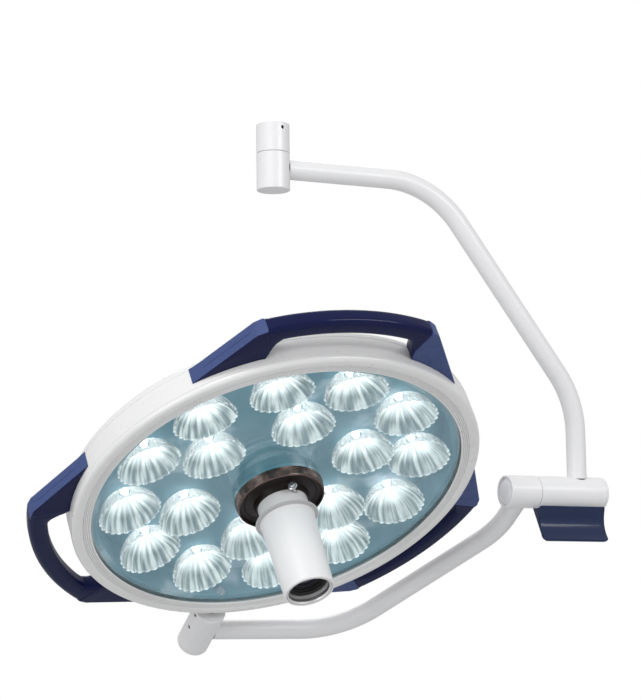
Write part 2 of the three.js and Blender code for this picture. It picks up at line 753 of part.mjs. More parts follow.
function buildSterileHandle(head) {
  const bore = BARREL_R + 0.5;
  const skirtR = 40.5; // wider than the hub ring's bore, which holds the collar in
  const spigot = { radius: 33, tip: 80 };
  const collarHigh = SLEEVE_LOW - GAP;
  const pinAt = (d) => LATCH_ROOT.map((c, i) => c + LATCH_LEAN[i] * d);
  const pinHole = rod(2.9, pinAt(-12), pinAt(9), SMALL_SIDES);
  const collar = lathe(
    [
      [bore, -5.5],
      [skirtR, -5.5],
      [skirtR, HUB_RING_BACK - 1.2],
      [COLLAR_R, HUB_RING_BACK - 0.6],
      [COLLAR_R, collarHigh],
      [spigot.radius, collarHigh],
      [spigot.radius, spigot.tip],
      [bore, spigot.tip],
    ],
    HUB_SIDES,
  );
  add(head, "handle_collar", collar.subtract(pinHole), WHITE);
  const pinHead = rod(6.6, pinAt(18.5), pinAt(21.5), SMALL_SIDES);
  add(head, "latch_pin", rod(2.5, pinAt(-4.5), pinAt(20), SMALL_SIDES).add(pinHead), STEEL);

  const flangeR = 45.8;
  const sleeveBore = spigot.radius + 0.4;
  const tipSeat = { radius: 32.8, depth: 8 };
  const sleeve = lathe(
    [
      [flangeR, SLEEVE_LOW],
      [flangeR, SLEEVE_LOW + 1.6],
      [flangeR - 0.6, SLEEVE_LOW + 2.4],
      [39.4, SLEEVE_LOW + 6.2],
      [35.8, SLEEVE_TIP - 1.2],
      [34.6, SLEEVE_TIP],
      [tipSeat.radius, SLEEVE_TIP],
      [tipSeat.radius, SLEEVE_TIP - tipSeat.depth],
      [30.8, SLEEVE_TIP - tipSeat.depth],
      [30.8, spigot.tip + 4],
      [sleeveBore, spigot.tip + 4],
      [sleeveBore, SLEEVE_LOW],
    ],
    HUB_SIDES,
  );
  add(head, "sterile_sleeve", sleeve, WHITE);
  const tipRingBack = SLEEVE_TIP - tipSeat.depth + GAP;
  const tipRing = ring(29.2, tipSeat.radius - GAP, tipRingBack, SLEEVE_TIP - 0.6, HUB_SIDES);
  add(head, "sleeve_tip_ring", tipRing, STEEL);
}

// ---------------------------------------------------------------- assembly
const centre = new THREE.Vector3(0, 0, -HEAD_DROP);
const worldX = new THREE.Vector3(1, 0, 0);
const thirdAxis = new THREE.Vector3(0, Math.sin(YOKE_ANGLE), -Math.cos(YOKE_ANGLE));
const up = thirdAxis.clone().negate();
const facing = new THREE.Vector3(0, -Math.cos(YOKE_ANGLE), -Math.sin(YOKE_ANGLE))
  .applyAxisAngle(up, HEAD_TURN);

buildMount();
buildOuterArm();
const pivotHub = frameGroup(centre, new THREE.Vector3(0, 1, 0), new THREE.Vector3(0, 0, 1), worldX);
buildPivot(pivotHub);
buildPanel();
buildRotor(pivotHub);
const innerArm = frameGroup(centre, worldX, thirdAxis, worldX.clone().cross(thirdAxis));
buildInnerArm(innerArm);
const yokeHub = frameGroup(centre, worldX, thirdAxis.clone().cross(worldX), thirdAxis);
buildYokeHub(yokeHub);

const head = frameGroup(centre, up.clone().cross(facing), up, facing);
buildHousing(head);
buildCarrier(head);
buildOptics(head);
HANDLE_ANGLES.forEach((degrees, i) => buildHandle(head, `grab_handle_${i + 1}`, degrees));
buildCentre(head);
buildSterileHandle(head);

export default light;
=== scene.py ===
import json
import math

import bmesh
import bpy
import numpy as np
from mathutils import Matrix, Vector


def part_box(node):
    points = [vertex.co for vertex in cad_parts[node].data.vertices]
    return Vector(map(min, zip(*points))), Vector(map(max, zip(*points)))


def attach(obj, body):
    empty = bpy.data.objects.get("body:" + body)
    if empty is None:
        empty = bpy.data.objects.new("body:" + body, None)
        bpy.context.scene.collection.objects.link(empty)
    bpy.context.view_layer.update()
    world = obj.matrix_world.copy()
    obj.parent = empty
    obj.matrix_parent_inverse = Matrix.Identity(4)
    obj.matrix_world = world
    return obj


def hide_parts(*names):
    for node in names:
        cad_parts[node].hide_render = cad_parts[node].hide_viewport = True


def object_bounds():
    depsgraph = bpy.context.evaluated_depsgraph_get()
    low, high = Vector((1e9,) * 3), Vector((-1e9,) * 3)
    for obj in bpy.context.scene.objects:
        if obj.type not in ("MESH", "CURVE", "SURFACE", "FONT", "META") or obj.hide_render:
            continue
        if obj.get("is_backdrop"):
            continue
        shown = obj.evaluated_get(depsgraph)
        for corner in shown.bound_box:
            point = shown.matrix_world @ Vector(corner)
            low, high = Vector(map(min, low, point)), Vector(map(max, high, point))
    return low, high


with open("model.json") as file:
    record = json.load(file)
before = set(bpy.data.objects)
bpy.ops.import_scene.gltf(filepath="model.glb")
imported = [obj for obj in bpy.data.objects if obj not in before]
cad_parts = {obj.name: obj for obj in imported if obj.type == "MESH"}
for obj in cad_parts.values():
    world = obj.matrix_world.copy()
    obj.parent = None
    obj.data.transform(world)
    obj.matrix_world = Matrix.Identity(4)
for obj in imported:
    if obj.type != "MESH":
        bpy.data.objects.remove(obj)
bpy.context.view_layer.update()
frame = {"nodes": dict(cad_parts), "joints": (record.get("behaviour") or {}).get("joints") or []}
nodes = frame["nodes"]
joints = {j["name"]: j for j in frame["joints"]}
scene = bpy.context.scene
MM = 0.001
TUBE_R = 15
TUBE_BORE = 12
GAP = 0.3
WALL = 4.5
SKIN = 4
ROUND = 128
FINE = 192
CRISP = 25
SCREW_R = 2.4
SCREW_HOLE = 2.7
FLUTES = 24
PER_FLUTE = 6
LED_WHITE = (1.0, 0.99, 0.975)


# ---------------------------------------------------------------- frames
class Axes:
    """A local frame in millimetres: out() takes points to the row frame in metres, of() brings a node in."""

    def __init__(self, origin, x, y, z):
        self.origin = np.array(origin, float)
        self.basis = np.array([x, y, z], float)

    def out(self, points):
        return self.origin + (np.asarray(points, float) * MM) @ self.basis

    def of(self, node):
        mesh = nodes[node].data
        flat = np.zeros(len(mesh.vertices) * 3)
        mesh.vertices.foreach_get("co", flat)
        return (flat.reshape(-1, 3) - self.origin) @ self.basis.T / MM

    def span(self, node):
        """(lowest, highest, largest radius, smallest radius) of a CAD node about this frame's z axis."""
        p = self.of(node)
        r = np.hypot(p[:, 0], p[:, 1])
        return p[:, 2].min(), p[:, 2].max(), r.max(), r.min()

    def moved(self, offset, x=None, y=None, z=None):
        """This frame shifted by offset millimetres, with new axes in its own coordinates if wanted."""
        given = zip((x, y, z), self.basis)
        turn = [b if a is None else np.asarray(a, float) @ self.basis for a, b in given]
        return Axes(self.out([offset])[0], *turn)

    def matrix(self):
        m = Matrix.Identity(4)
        for i in range(3):
            for k in range(3):
                m[i][k] = self.basis[k][i]
            m[i][3] = self.origin[i]
        return m


X_AXIS = np.array([1.0, 0, 0])
head_centre = np.array(joints["arm_pivot"]["pos_m"], float)
third = np.array(joints["head_tilt"]["axis"], float)
facing = np.array(joints["handle_turn"]["axis"], float)
third /= np.linalg.norm(third)
facing /= np.linalg.norm(facing)
WORLD = Axes(joints["suspension_swivel"]["pos_m"], [1, 0, 0], [0, 1, 0], [0, 0, 1])
PIVOT = Axes(head_centre, [0, 1, 0], [0, 0, 1], [1, 0, 0])
ARM = Axes(head_centre, X_AXIS, third, np.cross(X_AXIS, third))
YOKE = Axes(head_centre, X_AXIS, np.cross(third, X_AXIS), third)
HEAD = Axes(head_centre, np.cross(-third, facing), -third, facing)


def along(axes, start, direction):
    """A frame at start whose z axis runs along direction, both in the coordinates of axes."""
    z = np.asarray(direction, float)
    z = z / np.linalg.norm(z)
    x = np.cross([0.31, 0.17, 0.93] if abs(z[2]) < 0.9 else [1.0, 0, 0], z)
    x /= np.linalg.norm(x)
    return axes.moved(start, x, np.cross(z, x), z)


# ---------------------------------------------------------------- meshes
def finish_mesh(name, verts, faces, uvs=None, mats=None, sharp=32):
    mesh = bpy.data.meshes.new(name)
    mesh.from_pydata([tuple(v) for v in verts], [], faces)
    if uvs is not None:
        layer = mesh.uv_layers.new(name="UVMap")
        layer.data.foreach_set("uv", np.array([c for f in uvs for p in f for c in p], float))
    if mats is not None:
        mesh.polygons.foreach_set("material_index", mats)
    mesh.validate()
    bm = bmesh.new()
    bm.from_mesh(mesh)
    bmesh.ops.recalc_face_normals(bm, faces=bm.faces)
    bm.to_mesh(mesh)
    bm.free()
    mesh.polygons.foreach_set("use_smooth", [True] * len(mesh.polygons))
    mesh.set_sharp_from_angle(angle=math.radians(sharp))
    obj = bpy.data.objects.new(name, mesh)
    scene.collection.objects.link(obj)
    return obj


def rounded(profile, closed=True):
    """Points of a profile whose corners may carry a fillet radius as a third number."""
    pts = [np.array(p[:2], float) for p in profile]
    radii = [p[2] if len(p) > 2 else 0 for p in profile]
    out = []
    count = len(pts)
    for i, p in enumerate(pts):
        ends = not closed and i in (0, count - 1)
        if ends or radii[i] <= 0:
            out.append(p)
            continue
        a, b = pts[i - 1] - p, pts[(i + 1) % count] - p
        la, lb = np.linalg.norm(a), np.linalg.norm(b)
        a, b = a / la, b / lb
        inside = math.acos(max(-1, min(1, float(a @ b))))
        if inside > math.radians(178):
            out.append(p)
            continue
        reach = min(radii[i] / math.tan(inside / 2), 0.46 * la, 0.46 * lb)
        r = reach * math.tan(inside / 2)
        centre = p + (a + b) / np.linalg.norm(a + b) * r / math.sin(inside / 2)
        first, last = p + a * reach - centre, p + b * reach - centre
        turn = math.pi - inside
        steps = max(3, min(10, math.ceil(math.degrees(turn) / 11)))
        hold = min(0.25 * r, 0.03 * la, 0.03 * lb)
        out.append(p + a * (reach + hold))
        for k in range(steps + 1):
            w = turn * k / steps
            out.append(centre + (first * math.sin(turn - w) + last * math.sin(w)) / math.sin(turn))
        out.append(p + b * (reach + hold))
    return out


def spline(points, per=8):
    """Catmull-Rom points through a smooth profile."""
    p = [np.array(q, float) for q in points]
    p = [2 * p[0] - p[1], *p, 2 * p[-1] - p[-2]]
    out = []
    for i in range(1, len(p) - 2):
        for k in range(per):
            t = k / per
            out.append(
                0.5
                * (
                    2 * p[i]
                    + (p[i + 1] - p[i - 1]) * t
                    + (2 * p[i - 1] - 5 * p[i] + 4 * p[i + 1] - p[i + 2]) * t * t
                    + (3 * p[i] - p[i - 1] - 3 * p[i + 1] + p[i + 2]) * t**3
                )
            )
    out.append(p[-2])
    return [tuple(q) for q in out]


def lathe(name, axes, profile, segments=96, sharp=32):
    """A profile of (radius, height[, fillet]) turned about axes' z, closed unless it ends on that axis."""
    closed = not (profile[0][0] < 1e-6 and profile[-1][0] < 1e-6)
    pts = rounded(profile, closed)
    lengths = np.concatenate([[0], np.cumsum([np.linalg.norm(b - a) for a, b in zip(pts, pts[1:])])])
    verts, index = [], []
    angles = np.arange(segments) * 2 * math.pi / segments
    for r, z in pts:
        if r < 1e-6:
            index.append([len(verts)] * segments)
            verts.append((0, 0, z))
        else:
            index.append(list(range(len(verts), len(verts) + segments)))
            verts.extend(zip(r * np.cos(angles), r * np.sin(angles), [z] * segments))
    faces, uvs = [], []
    total = len(pts)
    for i in range(total if closed else total - 1):
        k = (i + 1) % total
        va, vb = lengths[i], lengths[k] if k else lengths[i] + np.linalg.norm(pts[0] - pts[i])
        for s in range(segments):
            t = (s + 1) % segments
            ua, ub = s / segments, (s + 1) / segments
            corners = {}
            for row, column, uv in ((i, s, (ua, va)), (i, t, (ub, va)), (k, t, (ub, vb)), (k, s, (ua, vb))):
                corners.setdefault(index[row][column], uv)
            if len(corners) > 2:
                faces.append(list(corners))
                uvs.append(list(corners.values()))
    return finish_mesh(name, axes.out(verts), faces, uvs, sharp=sharp)


def quad(i, k, s, count):
    """The face between rings i and k of count points each, from point s to the next."""
    t = (s + 1) % count
    return [i * count + s, i * count + t, k * count + t, k * count + s]


def bent_tube(name, axes, corners, bend_radius, segments=72):
    """A tube with a bore along straight runs joined by arcs of one radius, in the coordinates of axes."""
    pts = [np.array(c, float) for c in corners]
    unit = lambda v: v / np.linalg.norm(v)
    stations, headings = [pts[0]], [unit(pts[1] - pts[0])]
    for i in range(1, len(pts) - 1):
        before, after = unit(pts[i] - pts[i - 1]), unit(pts[i + 1] - pts[i])
        bend = math.acos(float(before @ after))
        side = unit(after - before * float(after @ before))
        start = pts[i] - before * bend_radius * math.tan(bend / 2)
        steps = math.ceil(math.degrees(bend) / 2.5)
        for k in range(steps + 1):
            a = bend * k / steps
            along_arc = before * bend_radius * math.sin(a) + side * bend_radius * (1 - math.cos(a))
            stations.append(start + along_arc)
            headings.append(unit(before * math.cos(a) + side * math.sin(a)))
    stations.append(pts[-1])
    headings.append(unit(pts[-1] - pts[-2]))
    normal = unit(np.cross(headings[0], unit(pts[1] - pts[0] + np.array([0.3, 0.5, 0.7]))))
    runs = np.concatenate([[0], np.cumsum([np.linalg.norm(b - a) for a, b in zip(stations, stations[1:])])])
    angles = np.arange(segments) * 2 * math.pi / segments
    outer, inner, soft = TUBE_R, TUBE_BORE, 0.5
    outside, inside = [], []
    for at, ahead in zip(stations, headings):
        normal = unit(normal - ahead * float(normal @ ahead))
        across = np.cross(ahead, normal)
        around = np.outer(np.cos(angles), normal) + np.outer(np.sin(angles), across)
        outside.append(at + outer * around)
        inside.append(at + inner * around)
    ends = []
    for i, ahead in ((0, -1), (-1, 1)):
        at, h = stations[i], headings[i]
        ends.append(at + (outside[i] - at) * (outer - soft) / outer)
        outside[i] = outside[i] - h * soft * ahead
    loop = [ends[0], *outside, ends[1], *inside[::-1]]
    length = np.concatenate([[0], runs, [runs[-1]], runs[::-1]])
    verts = np.concatenate(loop)
    faces, uvs = [], []
    for i in range(len(loop)):
        k = (i + 1) % len(loop)
        for s in range(segments):
            faces.append(quad(i, k, s, segments))
            ua, ub = s / segments, (s + 1) / segments
            uvs.append([(ua, length[i]), (ub, length[i]), (ub, length[k]), (ua, length[k])])
    return finish_mesh(name, axes.out(verts), faces, uvs)


def applied(obj):
    """Bakes the modifiers of obj into its mesh."""
    bpy.context.view_layer.update()
    ready = obj.evaluated_get(bpy.context.evaluated_depsgraph_get())
    mesh = bpy.data.meshes.new_from_object(ready)
    obj.modifiers.clear()
    old = obj.data
    obj.data = mesh
    bpy.data.meshes.remove(old)
    mesh.polygons.foreach_set("use_smooth", [True] * len(mesh.polygons))
    mesh.set_sharp_from_angle(angle=math.radians(32))
    return obj


def carved(obj, cutters, how="DIFFERENCE"):
    for cutter in cutters:
        m = obj.modifiers.new("carve", "BOOLEAN")
        m.object = cutter
        m.operation = how
        m.solver = "EXACT"
    applied(obj)
    for cutter in cutters:
        bpy.data.objects.remove(cutter)
    return obj


def rod(name, axes, start, direction, radius, length, segments=48, soft=0.0):
    at = along(axes, start, direction)
    return lathe(name, at, [(0, 0), (radius, 0, soft), (radius, length, soft), (0, length)], segments)


def joined(name, parts):
    """One object from several meshes that don't touch."""
    bm = bmesh.new()
    for part in parts:
        bm.from_mesh(part.data)
    mesh = bpy.data.meshes.new(name)
    bm.to_mesh(mesh)
    bm.free()
    for part in parts:
        bpy.data.objects.remove(part)
    mesh.set_sharp_from_angle(angle=math.radians(32))
    obj = bpy.data.objects.new(name, mesh)
    scene.collection.objects.link(obj)
    return obj


# ---------------------------------------------------------------- materials
class Nodes:
    """Adds nodes to a tree: constants go on their sockets, and outputs given as inputs are linked."""

    def __init__(self, tree):
        self.tree = tree

    def set(self, node, inputs):
        for key, value in inputs.items():
            socket = node.inputs[key if isinstance(key, int) else key.replace("_", " ")]
            if isinstance(value, bpy.types.NodeSocket):
                self.tree.links.new(value, socket)
            else:
                if socket.type == "RGBA" and len(value) == 3:
                    value = (*value, 1)
                socket.default_value = value

    def node(self, kind, props=None, numbered=None, **inputs):
        n = self.tree.nodes.new("ShaderNode" + kind)
        for key, value in (props or {}).items():
            setattr(n, key, value)
        self.set(n, inputs)
        self.set(n, numbered or {})
        return n

    def ramp(self, value, stops, smooth=False):
        n = self.node("ValToRGB", Fac=value)
        ramp = n.color_ramp
        ramp.interpolation = "EASE" if smooth else "LINEAR"
        while len(ramp.elements) < len(stops):
            ramp.elements.new(0.5)
        for e, (at, colour) in zip(ramp.elements, stops):
            e.position = at
            e.color = (*colour, 1) if hasattr(colour, "__len__") else (colour, colour, colour, 1)
        return n.outputs["Color"]


class Paint(Nodes):
    """A node material: constants go on the Principled shader's own sockets, patterns are linked in."""

    def __init__(self, name, **constants):
        self.m = bpy.data.materials.new(name)
        self.m.use_nodes = True
        super().__init__(self.m.node_tree)
        self.shader = self.tree.nodes["Principled BSDF"]
        self.set(self.shader, constants)

    def where(self, stretch=(1, 1, 1), kind="Object"):
        coords = self.node("TexCoord").outputs[kind]
        return self.node("Mapping", Vector=coords, Scale=stretch).outputs[0]

    def noise(self, scale, detail=3.0, rough=0.5, vector=None):
        at = self.where() if vector is None else vector
        return self.node("TexNoise", Vector=at, Scale=scale, Detail=detail, Roughness=rough).outputs["Fac"]

    def math(self, how, a, b=None):
        numbered = {0: a} if b is None else {0: a, 1: b}
        return self.node("Math", {"operation": how}, numbered).outputs[0]

    def between(self, value, low, high, to_low=0.0, to_high=1.0):
        n = self.node("MapRange", {"interpolation_type": "SMOOTHSTEP"})
        self.set(n, {"Value": value, "From_Min": low, "From_Max": high, "To_Min": to_low, "To_Max": to_high})
        return n.outputs[0]

    def bump(self, height, strength, distance):
        n = self.node("Bump", Height=height, Strength=strength, Distance=distance)
        self.set(self.shader, {"Normal": n.outputs[0]})

    def use(self, **inputs):
        self.set(self.shader, inputs)
        return self.m


def shade(colour, k):
    return tuple(min(1, c * k) for c in colour)


def enamel(name, colour, roughness, coat=0.25):
    """Powder-coated metal: faint tone drift and a very fine orange peel."""
    p = Paint(name, Specular_IOR_Level=0.5, Coat_Weight=coat, Coat_Roughness=0.18)
    drift = p.noise(6, 4)
    tone = p.ramp(drift, [(0.3, shade(colour, 0.975)), (0.7, colour)])
    peel = p.noise(350, 2)
    p.bump(peel, 0.025, 0.0001)
    rough = p.between(p.noise(35, 3), 0.3, 0.7, roughness - 0.03, roughness + 0.05)
    return p.use(Base_Color=tone, Roughness=rough)


def moulded(name, colour, roughness, grain_scale, grain, lighter=1.35, specular=0.5, coat=0, coat_rough=0.1):
    """Moulded plastic with a leathery grain whose high points are a little lighter."""
    p = Paint(name, Specular_IOR_Level=specular, Coat_Weight=coat, Coat_Roughness=coat_rough)
    cells = p.node("TexVoronoi", {"feature": "F1"}, Vector=p.where(), Scale=grain_scale).outputs["Distance"]
    fine = p.noise(grain_scale * 1.7, 4)
    height = p.math("ADD", p.math("MULTIPLY", cells, 0.6), p.math("MULTIPLY", fine, 0.6))
    p.bump(height, grain, 0.0006)
    tone = p.ramp(height, [(0.25, shade(colour, 0.8)), (0.75, shade(colour, lighter))])
    rough = p.between(p.noise(60, 3), 0.3, 0.7, roughness - 0.05, roughness + 0.08)
    return p.use(Base_Color=tone, Roughness=rough)


def metal(name, colour, roughness, stretch=(1, 1, 1), scale=400, kind="Object", drift=0.12, bump=0.06):
    """Machined metal with fine marks along one direction."""
    p = Paint(name, Metallic=1.0)
    marks = p.noise(scale, 4, 0.6, p.where(stretch, kind))
    tone = p.ramp(marks, [(0.25, shade(colour, 1 - drift)), (0.75, shade(colour, 1 + drift))])
    p.bump(marks, bump, 0.0002)
    rough = p.between(marks, 0.25, 0.75, roughness * 0.75, roughness * 1.3)
    return p.use(Base_Color=tone, Roughness=rough)


white = enamel("white_enamel_paint", (0.79, 0.79, 0.80), 0.36)
head_white = enamel("head_white_paint", (0.79, 0.79, 0.79), 0.30, 0.35)
handle_white = enamel("handle_white_plastic", (0.82, 0.815, 0.82), 0.42, 0.1)
# Grey copy of the handle white for the sleeve's flange: painted shade where the flange's face turns away from
# the light.
flange_painted_shade = enamel("handle_flange_painted_shade", (0.5, 0.5, 0.51), 0.34, 0.1)
navy = moulded("handle_navy_smooth", (0.004, 0.0068, 0.046), 0.38, 900, 0.03, 1.25, 0.04, 0.3, 0.12)
navy_rough = moulded("handle_navy_grained", (0.034, 0.054, 0.15), 0.5, 700, 0.5, 1.6, 0.3)
panel_blue = moulded("panel_navy_plastic", (0.012, 0.021, 0.062), 0.35, 900, 0.06, 1.25, 0.12, 0.3, 0.08)
rubber = moulded("key_rubber_soft", (0.012, 0.012, 0.014), 0.6, 1200, 0.25, 1.6)
steel = metal("turned_steel", (0.62, 0.63, 0.65), 0.24)
black_steel = metal("blackened_steel", (0.03, 0.03, 0.033), 0.42)
cast = metal("cast_aluminium", (0.5, 0.51, 0.52), 0.55, scale=160, bump=0.3)
driver_black = moulded("driver_case", (0.015, 0.015, 0.017), 0.55, 500, 0.3)
barrel_black = moulded("camera_barrel_black", (0.011, 0.011, 0.012), 0.34, 800, 0.06, 1.3)
tip_steel = metal("tip_ring_steel", (0.9, 0.91, 0.92), 0.36, (90, 1, 1), 3, "UV", 0.18)
bronze = metal("hub_bronze_turned", (0.17, 0.118, 0.104), 0.13, (0.2, 1400, 1), 2, "UV", 0.22, 0.05)
# Near-black paint for the hub ring's recess: painted shade in the recess.
recess_painted_shade = moulded("hub_recess_painted_shade", (0.0105, 0.0065, 0.006), 0.36, 900, 0.04, 1.4, 0.25)


def board_paint():
    """White solder mask with faint copper lands round each light source."""
    p = Paint("circuit_board_mask", Roughness=0.45, Specular_IOR_Level=0.5)
    cells = p.node("TexVoronoi", {"feature": "DISTANCE_TO_EDGE"}, Vector=p.where(), Scale=60.0)
    lands = cells.outputs["Distance"]
    tone = p.ramp(lands, [(0.02, (0.52, 0.55, 0.52)), (0.05, (0.72, 0.74, 0.71))])
    p.bump(lands, 0.2, 0.0002)
    return p.use(Base_Color=tone)


def carrier_paint(name, lift, glow, gloss):
    """Satin teal plate behind the glass, with the soft cloudy light the reflectors throw on it."""
    p = Paint(name, Metallic=0.1, Specular_IOR_Level=0.3, Coat_Weight=gloss, Coat_Roughness=0.06)
    clouds = p.noise(11, 3, 0.5)
    tones = [(0.4, (0.15, 0.31, 0.38)), (0.54, (0.2, 0.36, 0.43)), (0.66, (0.5, 0.6, 0.66))]
    tone = p.ramp(clouds, [(at, shade(colour, lift)) for at, colour in tones], True)
    p.bump(p.noise(500, 2), 0.05, 0.0002)
    rough = p.between(p.noise(20, 3), 0.3, 0.7, 0.3, 0.45)
    return p.use(Base_Color=tone, Roughness=rough, Emission_Color=tone, Emission_Strength=glow)


def flute_pattern(p):
    """Painted reflection along a reflector's flutes: how light a point is, in bands along its flutes, and how
    far down it is.
    """
    split = p.node("SeparateXYZ", Vector=p.where((1, 1, 1), "UV")).outputs
    down = split["Y"]
    phase = p.math("ABSOLUTE", p.math("SINE", p.math("MULTIPLY", split["X"], FLUTES * math.pi)))
    flat = p.node("VectorMath", {"operation": "MULTIPLY"}, {0: p.where(), 1: (1, 1, 0)}).outputs[0]
    round_it = p.node("VectorMath", {"operation": "NORMALIZE"}, {0: flat}).outputs[0]
    lift = p.node("CombineXYZ", Z=p.math("MULTIPLY", down, 0.8)).outputs[0]

    def bands(k, detail):
        ring = p.node("VectorMath", {"operation": "MULTIPLY"}, {0: round_it, 1: (k, k, 1)}).outputs[0]
        at = p.node("VectorMath", {"operation": "ADD"}, {0: ring, 1: lift}).outputs[0]
        return p.noise(1.0, detail, 0.55, at)

    fine = p.between(bands(7.5, 2), 0.33, 0.67)
    broad = p.between(bands(2.1, 1), 0.36, 0.64)
    mixed = p.math("ADD", p.math("MULTIPLY", fine, 0.5), p.math("MULTIPLY", broad, 0.28))
    return p.math("ADD", mixed, p.math("MULTIPLY", phase, 0.24)), down


def reflector_paint():
    """Mirror side of a fluted reflector: light and dark bands of painted reflection, and a painted glow,
    white where the source's light spills, on the bright bands and along the lip.
    """
    p = Paint("reflector_fluted_mirror", Specular_IOR_Level=0.6, Coat_Weight=0.4, Coat_Roughness=0.05)
    light, down = flute_pattern(p)
    # The light and dark bands are painted reflections of the flutes.
    tone = p.ramp(light, [(0.2, (0.26, 0.33, 0.35)), (0.5, (0.54, 0.59, 0.6)), (0.75, (0.88, 0.88, 0.87))])
    # Painted glow: spilt light near the neck, glints on the bright bands and a highlight along the lip.
    painted_flare_glow = p.between(down, 0.1, 0.52, 1.0, 0.0)
    painted_band_glints = p.between(light, 0.35, 0.9, 0.02, 0.24)
    rim = p.between(down, 0.94, 0.985, 0.0, 0.3)
    strength = p.math("ADD", p.math("ADD", painted_flare_glow, painted_band_glints), rim)
    behind = p.node("NewGeometry").outputs["Backfacing"]
    alpha = p.math("SUBTRACT", p.between(light, 0.2, 0.6, 0.84, 0.98), p.math("MULTIPLY", behind, 0.72))
    p.use(Base_Color=tone, Roughness=0.22, Alpha=alpha)
    return p.use(Emission_Color=LED_WHITE, Emission_Strength=strength)


def reflector_skin():
    """Clear outer side of a reflector: mostly see-through, with painted highlights on the flutes' edges and
    the lip, and a painted glow of spilt light near the neck.
    """
    p = Paint("reflector_fluted_skin", Specular_IOR_Level=0.5, Roughness=0.1)
    light, down = flute_pattern(p)
    # Lighter bands are painted highlights on the flutes.
    tone = p.ramp(light, [(0.3, (0.34, 0.43, 0.46)), (0.75, (0.84, 0.86, 0.86))])
    # Painted highlight along the lip and painted glow of spilt light near the neck, both also less
    # see-through.
    rim = p.between(down, 0.93, 0.99, 0.0, 0.25)
    painted_spill_glow = p.between(down, 0.12, 0.6, 0.85, 0.0)
    strength = p.math("ADD", p.math("ADD", p.between(light, 0.4, 0.9, 0.0, 0.26), rim), painted_spill_glow)
    body = p.math("ADD", p.between(light, 0.3, 0.8, 0.24, 0.5), rim)
    alpha = p.math("ADD", body, p.math("MULTIPLY", painted_spill_glow, 0.6))
    return p.use(Base_Color=tone, Alpha=alpha, Emission_Color=LED_WHITE, Emission_Strength=strength)


def glass_paint():
    """Thin safety glass: clear with a faint teal tint, and more of a mirror at a slant."""
    p = Paint("front_glass_clear")
    out = p.tree.nodes["Material Output"]
    clear = p.node("BsdfTransparent", Color=(0.93, 0.975, 0.98))
    gloss = p.node("BsdfGlossy", Color=(0.9, 0.95, 1.0), Roughness=0.0)
    smear = p.between(p.noise(5, 2), 0.35, 0.75, 0.2, 0.32)
    slant = p.node("Fresnel", IOR=1.22).outputs[0]
    share = p.math("MULTIPLY", slant, smear)
    mixed = p.node("MixShader", None, {0: share, 1: clear.outputs[0], 2: gloss.outputs[0]})
    p.tree.links.new(mixed.outputs[0], out.inputs["Surface"])
    p.tree.nodes.remove(p.shader)
    return p.m


def source_paint():
    """The lit face of a light source: brightest in the middle, with the die's fine grid."""
    p = Paint("light_source_lit", Roughness=0.3)
    grid = p.node("TexVoronoi", {"feature": "F1"}, Vector=p.where(), Scale=700.0).outputs["Distance"]
    tone = p.ramp(grid, [(0.1, (0.85, 0.9, 0.95)), (0.6, (1.0, 1.0, 1.0))])
    return p.use(Base_Color=tone, Emission_Color=tone, Emission_Strength=3.0)


def lens_paint():
    """Dark coated camera glass with a faint violet bloom: the coating's own tint, painted into the colour as
    a reflection that grows towards a slant.
    """
    p = Paint("camera_lens_coated", Specular_IOR_Level=0.8, Coat_Weight=1.0, Coat_Roughness=0.02)
    rim = p.node("LayerWeight", Blend=0.4).outputs["Facing"]
    bloom = p.noise(120, 2)
    # Painted reflection: the violet tint rises with the slant of the surface.
    tone = p.ramp(p.math("MULTIPLY", rim, bloom), [(0.0, (0.004, 0.004, 0.007)), (0.5, (0.03, 0.02, 0.06))])
    return p.use(Base_Color=tone, Roughness=0.05)


circuit_board = board_paint()
carrier_teal = carrier_paint("carrier_teal_satin", 0.96, 0.11, 0.0)
post_teal = carrier_paint("carrier_post_teal", 1.1, 0.13, 1.0)
reflector_mirror = reflector_paint()
reflector_clear = reflector_skin()
front_glass = glass_paint()
light_source = source_paint()
lens_glass = lens_paint()


def piece(obj, body, material, slot, *replaced):
    """Puts a finished piece in the model, each face with the material it had."""
    kinds = [f.material_index for f in obj.data.polygons]
    obj.data.materials.clear()
    paints = material if isinstance(material, (list, tuple)) else [material]
    for m in paints:
        obj.data.materials.append(m)
    obj.data.polygons.foreach_set("material_index", [k if k < len(paints) else 0 for k in kinds])
    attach(obj, body)
    if replaced:
        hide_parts(*replaced)
    return obj


def turned(node, look, axes, profile, segments, body, material, slot, sharp=32):
    """A lathe piece that takes a CAD node's place as it comes off the lathe."""
    return piece(lathe(f"{node}_{look}", axes, profile, segments, sharp), body, material, slot, node)


def paint_faces(obj, chosen):
    """Gives the second material to the faces that chosen picks from their middles, in the head's frame."""
    middles = (np.array([f.center for f in obj.data.polygons]) - HEAD.origin) @ HEAD.basis.T / MM
    while len(obj.data.materials) < 2:
        obj.data.materials.append(None)
    obj.data.polygons.foreach_set("material_index", chosen(middles).astype(int))


def keep(node, material):
    """A CAD node whose shape is right stays and only gets its material."""
    for s in nodes[node].material_slots:
        s.material = material


